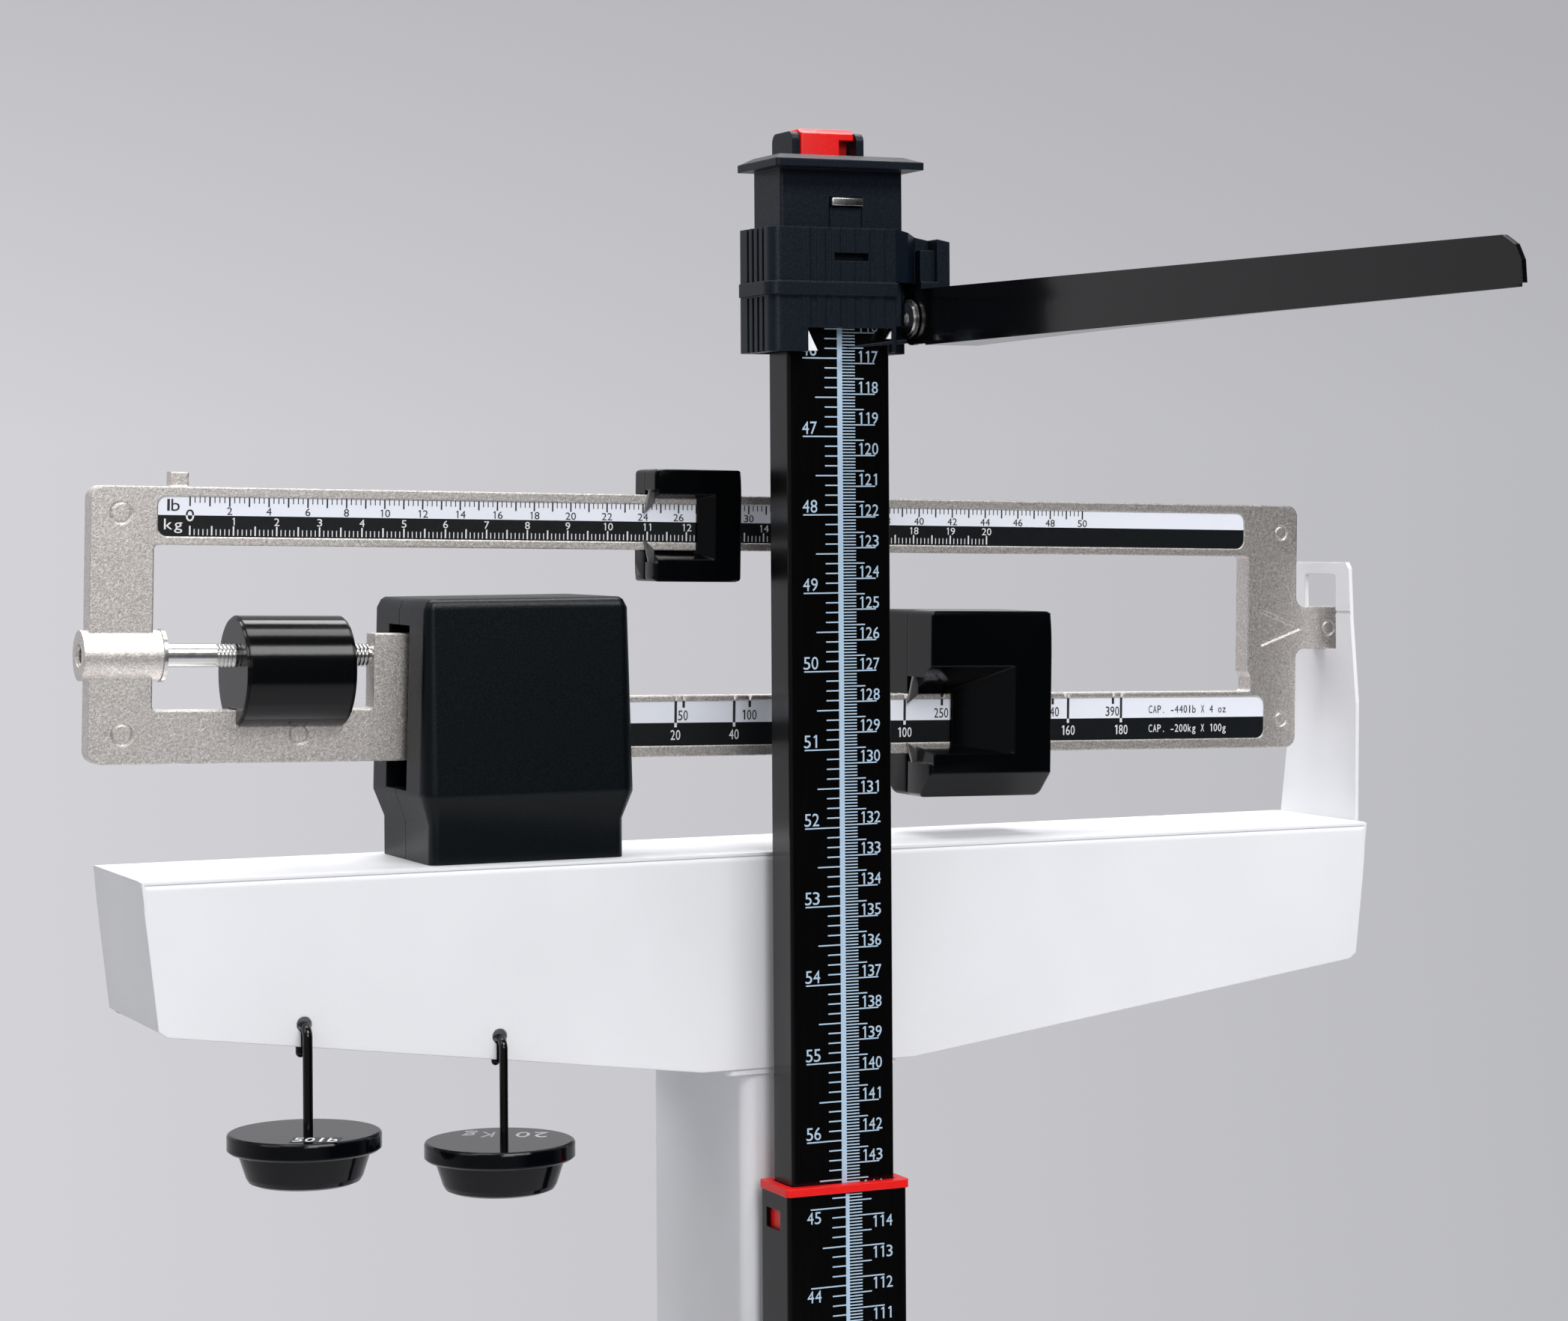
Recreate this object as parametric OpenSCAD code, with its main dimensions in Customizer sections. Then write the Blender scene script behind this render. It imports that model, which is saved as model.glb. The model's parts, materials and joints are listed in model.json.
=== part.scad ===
// Physician beam scale: free-standing platform scale with a two-bar beam,
// sliding poises, a telescopic height rod and a folding head arm.
// Frame: mm, +Z up, floor at z = 0, front is -Y. Pieces are drawn round the
// pillar centre, and framed() puts the middle of the footprint at the origin.

/* [Base] */
// Width of the base frame across X
base_w = 270; // [262:2:290]
// Distance from the pillar centre to the front of the base frame
base_front = 480; // [476:2:510]
// Height of the top of the platform mat above the floor
platform_h = 92; // [88:1:98]
// Radius of each levelling foot
foot_r = 14; // [11:0.5:16]

/* [Pillar] */
// Width of the pillar tube across X
pillar_w = 50; // [46:1:54]
// Depth of the pillar tube along Y, behind its front face
pillar_d = 80; // [70:1:80]
// Wall of the pillar tube
pillar_wall = 2; // [1.5:0.25:3]

/* [Housing] */
// Length of the beam housing across X
housing_w = 443; // [440:1:444]
// Depth of the beam housing along Y
housing_d = 62; // [60:0.5:63]
// Height of the housing at its ends
housing_end = 47.5; // [46:0.5:50]
// Height of the housing over the pillar
housing_mid = 71; // [69:0.5:74]
// Thickness of the folded sheet
sheet = 1.2; // [1:0.1:1.5]

/* [Beam] */
// Thickness of the beam casting
beam_t = 8; // [7:0.25:8.5]
// Angle the beam leans down to the right at rest, in degrees
beam_tilt = 1.15; // [1:0.05:1.2]
// Height of the upper bar
bar_h = 18.4; // [17.6:0.2:19]
// Distance along the bar for one pound on the minor bar
lb_step = 6.396; // [6.2:0.004:6.4]

/* [Poises] */
// Length of the minor poise along the bar
minor_w = 31.3; // [29:0.1:34]
// Thickness of the minor poise
minor_t = 17; // [15:0.5:19]
// Length of the major poise along the bar
major_w = 46.4; // [44:0.2:48]
// Thickness of the major poise
major_t = 36; // [32:1:36]
// Outer radius of the balance weight
balance_r = 17.8; // [16.5:0.1:18]
// Radius of the balance screw
screw_r = 3.75; // [3.5:0.05:4]

/* [Height rod] */
// Play of the inner rod in the outer tube, left and right together
side_play = 3; // [2.8:0.1:3.6]
// Play of the inner rod in the outer tube, front and rear together
rod_play = 3.5; // [3.2:0.1:4]
// Width of the outer tube
outer_w = 42.6; // [42.2:0.1:42.8]
// Depth of the outer tube
outer_d = 21.5; // [21:0.1:22]
// Wall of the rod tubes
rod_wall = 1.5; // [1.2:0.1:1.6]

/* [Head] */
// Reach of the head arm from its pivot to its tip
arm_reach = 332; // [300:2:340]
// Height of the head arm plate at the pivot
arm_h = 18; // [16:0.5:19]
// Thickness of the head arm sheet
arm_t = 1.5; // [1.2:0.1:1.6]

/* [Counterweights] */
// Radius of the counterweight rim
disc_r = 24; // [22:0.5:27]
// Radius of the hook wire
hook_r = 1.55; // [1.4:0.05:1.8]

/* [Clearances] */
// Running clearance of each pin in its bore
fit = 0.05; // [0.02:0.01:0.08]
// Gap kept between pieces that move past each other
gap = 0.4; // [0.3:0.05:0.6]

/* [Hidden] */
$fn = 32;
e = 0.01;
bw = base_w / 2;
zplate = platform_h - 2;
out_f = -66.5;
out_r = out_f + outer_d;
out_y = out_f + outer_d / 2;
inner_d = outer_d - 2 * rod_wall - rod_play;
inner_w = outer_w - 2 * rod_wall - side_play;
sx = outer_w / 2 + 1;
rod_y = out_f + rod_wall + 1.5 + inner_d / 2;
slr = rod_y + inner_d / 2 + 3.9;
pil_y0 = out_r + 5;
pil_y1 = pillar_d + pil_y0;
base_rear = pil_y1 + 35;
cover_y0 = -93;
cover_y1 = base_rear + 5;
pan_y1 = cover_y0 - 2.5;
bolt_x = pillar_w / 2 + 17;
bolt_y0 = pil_y0 - 10;
bolt_y1 = pil_y1 + 10;
stand_x = bw - 17;
leg_x = bw - 28;
lev_x = bw - 31;
// fulcrum line of the beam
bx = -98;
by = -10.5;
bz = platform_h + 1316;
// housing
hz = bz - 59;
hm = hz - housing_mid;
he = hz - housing_end;
hcx = -4.3;
hw = housing_w / 2;
brk_x = hcx + hw;
brk_t = 1.6;
hy0 = by - housing_d / 2;
hy1 = by + housing_d / 2;
// beam casting, measured from the fulcrum line
b_l = -137;
b_r = brk_x - bx - 12.7;
b_top = 59.6;
b_bot = -27.4;
up_bot = b_top - bar_h;
low_top = -7.2;
left_top = -10.7;
hub_top = 13.5;
lug_x = -44.6;
hub_r = 22;
scr_z = 6.45;
zero_up = b_l + 31.5;
zero_low = 39.4;
kg_low = 1.063;
tab_z0 = 8.1;
tab_z1 = 23.3;
// poises
mn_x = zero_up + 24 * lb_step + 2.2;
mj_x = zero_low + 100 * kg_low + 2.8;
// bracket
win_lo = bz + tab_z0 - (brk_x - bx + brk_t) * sin(beam_tilt) - 0.03;
win_hi = win_lo + 27;
// levers
load_arm = 15;
link_x = bx - load_arm;
shelf_x = 120;
shelf_z = bz - 92;
lev_front = 40 - base_front;
lev_load = 36.5;
short_y = -120;
join_y = lev_front + 140;
bar_x = lev_x * (-70 - join_y + 8.5) / (-62 - lev_front);
short_load = lev_load * (short_y - join_y) / (join_y - lev_front);
long_z = 41;
short_z = 29;
// rod
out_top = bz - 168;
out_bot = 140;
cap_z = bz + 163.5;
btn_x = -2;
blk_z = bz + 113;
in_bot = 480;
// sleeve and arm
sl_lo = bz + 104.3;
sl_hi = bz + 144.4;
arm_x = sx + 1.7;
arm_y = -68.8;
arm_z = bz + 115.3;
// counterweight positions
w1x = hcx - hw + 51.3;
w1z = he + 0.9;
w2x = w1x + 64.3;
w2z = he - 7;
wy = hy0;
wire_y = 3.4;

module box(x0, x1, y0, y1, z0, z1) {
  translate([x0, y0, z0]) cube([x1 - x0, y1 - y0, z1 - z0]);
}
module rect(x0, x1, y0, y1, r) {
  if (r > 0) {
    offset(r = r) translate([x0 + r, y0 + r]) square([x1 - x0 - 2 * r, y1 - y0 - 2 * r]);
  } else {
    translate([x0, y0]) square([x1 - x0, y1 - y0]);
  }
}
// plate drawn in X and Z, running from y0 to y1
module xz(y0, y1) {
  translate([0, y1, 0]) rotate([90, 0, 0]) linear_extrude(y1 - y0) children();
}
// plate drawn in Y and Z, running from x0 to x1
module yz(x0, x1) {
  translate([x0, 0, 0]) rotate([90, 0, 90]) linear_extrude(x1 - x0) children();
}
module xy(z0, z1) {
  translate([0, 0, z0]) linear_extrude(z1 - z0) children();
}
module rod_x(x0, x1, y, z, r) {
  translate([x0, y, z]) rotate([0, 90, 0]) cylinder(r = r, h = x1 - x0);
}
module rod_y(y0, y1, x, z, r) {
  translate([x, y0, z]) rotate([-90, 0, 0]) cylinder(r = r, h = y1 - y0);
}
module rod_z(z0, z1, x, y, r) {
  translate([x, y, z0]) cylinder(r = r, h = z1 - z0);
}
module framed() {
  translate([0, (base_front - cover_y1) / 2, 0]) children();
}
// opening for the draft rod in the plates round the pillar
module draft_well(z0, z1) {
  xy(z0, z1) rect(-11, 11, by - 11, by + 27, 0);
}
module at_beam() {
  translate([bx, by, bz]) rotate([0, beam_tilt, 0]) children();
}

module base_frame() color([0.85, 0.85, 0.85]) framed() {
  difference() {
    union() {
      difference() {
        xy(12, 56) rect(-bw, bw, -base_front, base_rear, 8);
        xy(15, 57) rect(-bw + 3, bw - 3, -base_front + 3, base_rear - 3, 5);
        xy(11, 16) rect(-bw + 28, bw - 28, -base_front + 28, base_rear - 28, 5);
      }
      box(-bw + 2, bw - 2, cover_y0 + 3, base_rear - 1, 52, 56);
      box(-bw + 2, bw - 2, bolt_y0 - 12, bolt_y0 - 8, 14, 53);
      box(-bw + 2, bw - 2, bolt_y1 - 18, bolt_y1 - 14, 14, 53);
    }
    xy(50, 58) rect(-18, 18, by - 18, by + 34, 0);
    for (x = [-bw + 15, bw - 15], y = [-base_front + 15, base_rear - 15]) {
      rod_z(11, 16, x, y, 4.3);
    }
    for (x = [-bolt_x, bolt_x], y = [bolt_y0, bolt_y1]) {
      rod_z(50, 58, x, y, 4);
    }
    box(-40, 40, bolt_y0 - 14, bolt_y0 - 6, 13, 51);
  }
}

module levelling_feet() color([0.1, 0.1, 0.1]) framed() {
  for (x = [-bw + 15, bw - 15], y = [-base_front + 15, base_rear - 15]) {
    rod_z(0, 3, x, y, foot_r - 1);
    rod_z(2, 9, x, y, foot_r);
    rod_z(8, 12, x, y, 7);
    rod_z(11, 24, x, y, 4);
    rod_z(15, 20, x, y, 7);
  }
}

module base_cover() color([0.93, 0.93, 0.93]) framed() {
  difference() {
    xy(56, zplate) rect(-bw - 5, bw + 5, cover_y0, cover_y1, 6);
    xy(55, zplate - 1.5) rect(-bw - 3.5, bw + 3.5, cover_y0 + 1.5, cover_y1 - 1.5, 4.5);
    xy(zplate - 3, zplate + 1) rect(-pillar_w / 2 - 0.4, pillar_w / 2 + 0.4,
      pil_y0 - 0.4, pil_y1 + 0.4, 5);
  }
  for (x = [-bw + 20, bw - 20], y = [cover_y0 + 13, cover_y1 - 14]) {
    rod_z(56, zplate - 1, x, y, 5);
  }
}

module lever_stands() color([0.35, 0.36, 0.38]) framed() {
  for (s = [-1, 1]) {
    difference() {
      box(s * stand_x - 4, s * stand_x + 4, lev_front - 11, lev_front + 11, 15, long_z + 9);
      rod_x(s * stand_x - 5, s * stand_x + 5, lev_front, long_z, 4 + fit);
    }
    difference() {
      box(s * stand_x - 4, s * stand_x + 4, short_y - 11, short_y + 11, 15, short_z + 9);
      rod_x(s * stand_x - 5, s * stand_x + 5, short_y, short_z, 4 + fit);
    }
    box(s > 0 ? stand_x - 6 : 3 - bw, s > 0 ? bw - 3 : 6 - stand_x,
      lev_front - 11, lev_front + 11, 15, 18);
    box(s > 0 ? stand_x - 6 : 3 - bw, s > 0 ? bw - 3 : 6 - stand_x, short_y - 11, short_y + 11, 15, 18);
  }
}

module pillar_base() color([0.85, 0.85, 0.85]) framed() {
  difference() {
    xy(56, 62) rect(-bolt_x - 18, bolt_x + 18, bolt_y0 - 12, bolt_y1 + 12, 6);
    draft_well(55, 63);
    for (x = [-bolt_x, bolt_x], y = [bolt_y0, bolt_y1]) {
      rod_z(55, 63, x, y, 4);
    }
  }
}

module pillar_bolts() color([0.6, 0.6, 0.62]) framed() {
  for (x = [-bolt_x, bolt_x], y = [bolt_y0, bolt_y1]) {
    rod_z(47, 63, x, y, 4);
    translate([x, y, 62]) cylinder(r = 7, h = 5.3, $fn = 6);
    translate([x, y, 46]) cylinder(r = 7, h = 6, $fn = 6);
  }
}

module pillar() color([0.9, 0.9, 0.91]) framed() {
  difference() {
    xy(62, hm - 2) rect(-pillar_w / 2, pillar_w / 2, pil_y0, pil_y1, 5);
    xy(61, hm - 1) rect(-pillar_w / 2 + pillar_wall, pillar_w / 2 - pillar_wall,
      pil_y0 + pillar_wall, pil_y1 - pillar_wall, 3.4);
    for (z = [180, 640, out_top - 30]) {
      rod_y(pil_y0 - 1, pil_y0 + pillar_wall + 1, 0, z + 11, 2.5);
    }
  }
}

module pillar_top() color([0.9, 0.9, 0.91]) framed() {
  difference() {
    xy(hm - 2, hm) rect(-pillar_w / 2 - 6, pillar_w / 2 + 6, pil_y0 - 1, pil_y1 + 1, 3);
    draft_well(hm - 3, hm + 1);
    for (x = [-15, 15], y = [by - 20, by + 20]) {
      rod_z(hm - 3, hm + 1, x, y, 2.5);
    }
  }
}

module housing_face(d) {
  offset(delta = -d) polygon([[hcx - hw, hz], [hcx - hw + 5.3, he + 1.5],
    [hcx - hw + 8, he - 0.5], [hcx - 36, hm], [hcx + 41, hm],
    [hcx + hw - 8, he - 0.5], [hcx + hw - 5.3, he + 1.5], [hcx + hw, hz]]);
}
module housing_open(d) {
  polygon([[hcx - hw + d, hz - d], [hcx - hw + 5.3 + d, he - 2], [hcx - hw + 5.3 + d, hm - 9],
    [hcx + hw - 5.3 - d, hm - 9], [hcx + hw - 5.3 - d, he - 2], [hcx + hw - d, hz - d]]);
}
module keyhole(x, z) {
  rod_y(hy0 - 1, hy0 + 3, x, z, hook_r + 0.9);
}
module beam_housing() color([0.95, 0.95, 0.95]) framed() {
  difference() {
    union() {
      difference() {
        intersection() {
          xz(hy0, hy1) housing_face(0);
          yz(hcx - hw, hcx + hw) rect(hy0, hy1, hm - 9, hz, 3);
          xy(hm - 9, hz) rect(hcx - hw, hcx + hw, hy0, hy1, 2.5);
        }
        xz(hy0 + sheet, hy1 - sheet) housing_open(sheet);
      }
      intersection() {
        xz(hy0 + 0.3, hy1 - 0.3) housing_face(0.2);
        union() {
          difference() {
            box(hcx - hw, hcx + hw, hy0 + 0.3, hy0 + 9, hm - 1, hz);
            xz(hy0 - 1, hy0 + 11) housing_face(sheet);
          }
          difference() {
            box(hcx - hw, hcx + hw, hy1 - 9, hy1 - 0.3, hm - 1, hz);
            xz(hy1 - 11, hy1 + 1) housing_face(sheet);
          }
        }
      }
      box(hcx - 36, hcx + 41, hy0 + 0.5, hy1 - 0.5, hm, hm + 2);
    }
    draft_well(hm - 1, hm + 3);
    for (x = [-15, 15], y = [by - 20, by + 20]) {
      rod_z(hm - 1, hm + 3, x, y, 2.5);
    }
    box(link_x - 9, link_x + 7, by - 11, by + 11, hz - 3, hz + 1);
    for (x = [bx - 3, bx + 3]) {
      rod_z(hz - 3, hz + 1, x, by - 15, 1.5);
      rod_z(hz - 3, hz + 1, x, by + 15, 1.5);
    }
    keyhole(w1x, w1z);
    keyhole(w2x, w2z);
    box(w1x - 1.1, w1x + 1.1, hy0 - 1, hy0 + 10, he - 9, w1z);
    box(w2x - 1.1, w2x + 1.1, hy0 - 1, hy0 + 10, he - 20, w2z);
    box(w1x - 4.8, w1x + 4.8, hy0 + sheet - 0.2, hy0 + 10, he - 12, he + 1);
    box(w2x - 4.8, w2x + 4.8, hy0 + sheet - 0.2, hy0 + 10, he - 20, he - 8.5);
    for (y = [by - 18, by + 18]) {
      rod_x(hcx + hw - 8, hcx + hw + 1, y, hz - 20, 2);
    }
  }
}

module housing_screws() color([0.6, 0.6, 0.62]) framed() {
  for (x = [-15, 15], y = [by - 20, by + 20]) {
    rod_z(hm - 5, hm + 3, x, y, 2.5);
    difference() {
      rod_z(hm + 2, hm + 5, x, y, 4.5);
      translate([x, y, hm + 3.5]) cylinder(r = 2.3, h = 2, $fn = 6);
    }
  }
}

module index_bracket() color([0.96, 0.96, 0.96]) framed() {
  difference() {
    yz(brk_x, brk_x + brk_t) union() {
      polygon([[by - 22.5, hz - 30], [by + 26, hz - 30], [by + 26.6, hz], [by + 22, bz - 34],
        [by + 18, bz + 6], [by + 17, bz + 31], [by + 15, bz + 33], [by - 17.6, bz + 33.2],
        [by - 19.4, bz + 31], [by - 20.4, bz + 12.5], [by - 23.5, bz - 17], [by - 22.5, hz]]);
    }
    yz(brk_x - 1, brk_x + brk_t + 1) rect(by - 11, by + 9.1, win_lo, win_hi, 1);
    box(brk_x - 1, brk_x + 0.35, by - 20.2, by - 10, (win_lo + win_hi) / 2 - 0.6,
      (win_lo + win_hi) / 2 + 0.4);
    for (y = [by - 18, by + 18]) {
      rod_x(brk_x - 1, brk_x + brk_t + 1, y, hz - 20, 2);
    }
  }
}

module bracket_screws() color([0.6, 0.6, 0.62]) framed() {
  for (y = [by - 18, by + 18]) {
    rod_x(brk_x - 9, brk_x + brk_t + 0.5, y, hz - 20, 2);
    difference() {
      rod_x(brk_x + brk_t, brk_x + brk_t + 2.4, y, hz - 20, 3.6);
      box(brk_x + brk_t + 1.4, brk_x + brk_t + 3, y - 4, y + 4, hz - 20.5, hz - 19.5);
    }
  }
}

module fulcrum_stand() color([0.55, 0.55, 0.57]) framed() {
  translate([bx, by, 0]) difference() {
    union() {
      box(-8, 8, -19, 19, hz, hz + 3);
      for (s = [-1, 1]) {
        box(-8, 8, s * 10.5 - 1.5, s * 10.5 + 1.5, hz, bz + 5);
      }
    }
    xz(-20, 20) polygon([[-7, bz + 7], [0, bz - 0.03], [7, bz + 7]]);
    for (x = [-3, 3], y = [-15, 15]) {
      rod_z(hz - 1, hz + 4, x, y, 1.5);
    }
  }
  for (x = [bx - 3, bx + 3], y = [by - 15, by + 15]) {
    rod_z(hz - 4, hz + 4, x, y, 1.5);
    rod_z(hz + 3, hz + 5, x, y, 2.8);
  }
}

// outline of the cover in plan, grown by d, cut at the seam on one side
module cover_plan(d) {
  rect(bx - 32.8 - d, bx + 33.4 + d, by - 24.8 - d, by + 24.8 + d, 3);
}
module cover_shell() {
  hull() {
    xy(bz - 37.5, bz + 22) cover_plan(1.6);
    xy(bz - 36, bz + 25.5) offset(delta = -2.2) cover_plan(1.2);
    xy(bz - 37.5, bz - 36) offset(delta = 2) cover_plan(1.2);
    xy(bz + 20, bz + 24.6) offset(delta = -0.8) cover_plan(1.2);
  }
  hull() {
    xy(bz - 37.6, bz - 37.4) offset(delta = 2) cover_plan(1.2);
    xy(bz - 46.4, bz - 46) cover_plan(0);
  }
  xy(hz, bz - 45) cover_plan(0);
}
module cover_hollow() {
  difference() {
    union() {
      cover_shell();
    }
    xy(hz - 1, bz + 23) offset(delta = -1.8) cover_plan(0);
    box(bx - 40, bx - 26, by - 10.4, by + 10.4, bz - 36, bz + 17);
    box(bx + 27, bx + 40, by - 10.4, by + 10.4, bz - 36, bz + 4);
    for (x = [bx - 27, bx + 28], z = [hz + 6, bz + 18.6]) {
      rod_y(by + 12, by + 32, x, z, 3.2);
    }
  }
}
module cover_front() color([0.07, 0.07, 0.08]) framed() {
  intersection() {
    cover_hollow();
    box(bx - 60, bx + 90, by - 60, by - 0.1, hz - 5, bz + 40);
  }
  for (x = [bx - 27, bx + 28], z = [hz + 6, bz + 18.6]) {
    difference() {
      rod_y(by - 24, by - 0.1, x, z, 3.4);
      rod_y(by - 12, by, x, z, 1.5);
    }
  }
}
module cover_rear() color([0.07, 0.07, 0.08]) framed() {
  intersection() {
    cover_hollow();
    box(bx - 60, bx + 90, by + 0.1, by + 60, hz - 5, bz + 40);
  }
  for (x = [bx - 27, bx + 28], z = [hz + 6, bz + 18.6]) {
    difference() {
      rod_y(by + 0.1, by + 22.4, x, z, 3.4);
      rod_y(by, by + 23, x, z, 1.5);
    }
    difference() {
      rod_y(by + 22.2, by + 24, x, z, 3.5);
      rod_y(by + 22, by + 25, x, z, 3);
    }
  }
}
module cover_screws() color([0.3, 0.3, 0.32]) framed() {
  for (x = [bx - 27, bx + 28], z = [hz + 6, bz + 18.6]) {
    rod_y(by - 10, by + 23, x, z, 1.5);
    rod_y(by + 22.4, by + 24.4, x, z, 2.9);
  }
}

module shelf_stand() color([0.55, 0.55, 0.57]) framed() {
  difference() {
    union() {
      for (s = [-1, 1]) {
        box(shelf_x - 9, shelf_x + 9, by + s * 8.5 - 1.5, by + s * 8.5 + 1.5, shelf_z - 8, hz - sheet);
      }
      box(shelf_x - 9, shelf_x + 9, by - 10, by + 10, hz - sheet - 2, hz - sheet);
    }
    rod_y(by - 11, by + 11, shelf_x, shelf_z, 3 + fit);
  }
}

module rod_brackets() color([0.15, 0.15, 0.16]) framed() {
  for (z = [180, 640, out_top - 30]) {
    box(-11, 11, out_y + outer_d / 2, pil_y0, z, z + 22);
    rod_y(out_y + outer_d / 2 - 2.2, pil_y0 + 5, 0, z + 11, 2.5);
  }
}

module tube(w, d, t, y, z0, z1, r) {
  difference() {
    xy(z0, z1) rect(-w / 2, w / 2, y - d / 2, y + d / 2, r);
    xy(z0 - 1, z1 + 1) rect(-w / 2 + t, w / 2 - t, y - d / 2 + t, y + d / 2 - t, max(r - t, 0.3));
  }
}
module outer_tube() color([0.05, 0.05, 0.06]) framed() {
  difference() {
    tube(outer_w, outer_d, rod_wall, out_y, out_bot, out_top, 1.2);
    box(-outer_w / 2 - 1, -outer_w / 2 + 3, out_y - 4.4, out_y + 6.2, out_top - 12, out_top - 5.6);
    for (z = [180, 640, out_top - 30]) {
      rod_y(out_y + outer_d / 2 - 3, out_y + outer_d / 2 + 1, 0, z + 11, 2.5);
    }
  }
}
module red_collar() color([0.85, 0.05, 0.06]) framed() {
  difference() {
    union() {
      xy(out_top, out_top + 2.6) rect(-outer_w / 2 - 0.7, outer_w / 2 + 0.7,
        out_y - outer_d / 2 - 0.9, out_y + outer_d / 2, 1.6);
      xy(out_top - 14, out_top + 1) rect(-outer_w / 2 + rod_wall, outer_w / 2 - rod_wall,
        out_y - outer_d / 2 + rod_wall, out_y + outer_d / 2 - rod_wall, 0.5);
    }
    xy(out_top - 15, out_top + 4) rect(-inner_w / 2 - gap, inner_w / 2 + gap,
      rod_y - inner_d / 2 - gap, rod_y + inner_d / 2 + gap, 0.8);
  }
}

module notch(x) {
  polygon([[x - 1.2, low_top + 1], [x, low_top - 1.5], [x + 1.2, low_top + 1]]);
}
module beam_outline() {
  difference() {
    offset(r = -3.5) offset(delta = 3.5) union() {
      rect(b_l, b_r, b_bot, b_top, 4);
      rect(b_r - 8, b_r + 18.6, tab_z0, tab_z1, 0);
    }
    offset(r = 1.5) offset(delta = -1.5) polygon([[b_l + 20.1, up_bot], [b_r - 20.2, up_bot],
      [b_r - 20.2, 0], [b_r - 18.9, -2], [b_r - 18.9, low_top], [hub_r, low_top], [hub_r, hub_top],
      [lug_x, hub_top], [lug_x, left_top], [b_l + 20.1, left_top]]);
    for (k = [0 : 9]) {
      notch(zero_low + k * 20 * kg_low);
    }
    for (k = [1 : 7]) {
      notch(zero_low + k * 50 * 0.4536 * kg_low);
    }
    notch(zero_low + 390 * 0.4536 * kg_low);
  }
}
module groove(x, z, a, l) {
  translate([x, -beam_t / 2 - 1, z]) rotate([0, -a, 0]) box(-l, 0, 0, 1.4, -0.5, 0.5);
}
module dimple(x, z, r) {
  difference() {
    rod_y(-beam_t / 2 - 1, -beam_t / 2 + 0.3, x, z, r + 0.3);
    rod_y(-beam_t / 2 - 2, -beam_t / 2 + 1, x, z, r - 0.3);
  }
}
module beam() color([0.72, 0.7, 0.68]) framed() {
  at_beam() difference() {
    union() {
      xz(-beam_t / 2, beam_t / 2) beam_outline();
      rod_x(b_l - 2.3, b_l + 23, 0, scr_z, 7.95);
      box(zero_up - 6, zero_up - 0.2, -2.4, 2.4, b_top - 1, b_top + 4.6);
    }
    xz(-beam_t, -beam_t / 2 + 0.8) rect(b_l + 21.2, b_r - 22.3, up_bot + 2.7, b_top - 3.1, 3);
    xz(-beam_t, -beam_t / 2 + 0.8) rect(30, b_r - 13.2, -23.8, -9, 3);
    rod_x(b_l - 4, b_l + 27, 0, scr_z, screw_r + fit);
    rod_x(lug_x - 1, lug_x + 6, 0, scr_z, 3 + fit);
    rod_y(-5, 5, 0, 2.8, 3.2);
    rod_y(-5, 5, -load_arm, -2.8, 3.2);
    groove(b_r + 1.8, 15.7, -19.5, 17.6);
    groove(b_r + 1.8, 15.7, 20.5, 17.6);
    dimple(b_l + 9.6, 51.2, 3.2);
    dimple(b_l + 10.8, -18, 3.2);
    dimple(-69, -18.4, 3);
    dimple(b_r - 6.9, 49.8, 2.3);
    dimple(b_r - 6.1, -17.1, 2.3);
    dimple(b_r + 13.6, 15.7, 2.4);
  }
}
module knife(w) {
  rod_y(-beam_t / 2 - 0.5, beam_t / 2 + 0.5, 0, 2.8, 3.2);
  xz(-w, w) polygon([[-2.6, 4.6], [0, 0], [2.6, 4.6]]);
}
module fulcrum_knife() color([0.5, 0.5, 0.53]) framed() {
  at_beam() knife(12.8);
}
module load_knife() color([0.5, 0.5, 0.53]) framed() {
  at_beam() translate([-load_arm, 0, 0]) mirror([0, 0, 1]) knife(8.2);
}
module strip_upper() color([0.9, 0.9, 0.92]) framed() {
  at_beam() xz(-beam_t / 2 + 0.3, -beam_t / 2 + 0.8) rect(b_l + 21.2, b_r - 22.3,
    up_bot + 2.7, b_top - 3.1, 3);
}
module strip_lower() color([0.9, 0.9, 0.92]) framed() {
  at_beam() xz(-beam_t / 2 + 0.3, -beam_t / 2 + 0.8) rect(30, b_r - 13.2, -23.8, -9, 3);
}
module screw_washer() color([0.75, 0.76, 0.78]) framed() {
  at_beam() difference() {
    rod_x(b_l + 23, b_l + 24.1, 0, scr_z, 8.4);
    rod_x(b_l + 22, b_l + 26, 0, scr_z, screw_r + fit);
  }
}
module balance_screw() color([0.78, 0.8, 0.82]) framed() {
  at_beam() difference() {
    union() {
      rod_x(b_l - 1.6, lug_x - 1, 0, scr_z, screw_r);
      rod_x(lug_x - 2, lug_x + 5, 0, scr_z, 3);
    }
    translate([b_l - 3, 0, scr_z]) rotate([0, 90, 0]) cylinder(r = 2.3, h = 5, $fn = 6);
  }
}
module balance_weight() color([0.05, 0.05, 0.06]) framed() {
  at_beam() difference() {
    translate([0, 0, scr_z - 5.15]) union() {
      rod_x(-89.1, -55.1, 0, 0, balance_r);
      rod_x(-89.9, -54.3, 0, 0, balance_r - 0.7);
    }
    rod_x(-91, -53, 0, scr_z, screw_r + fit);
    box(-90, -47, -beam_t / 2 - gap, beam_t / 2 + gap, -25, left_top + gap);
  }
}

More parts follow.
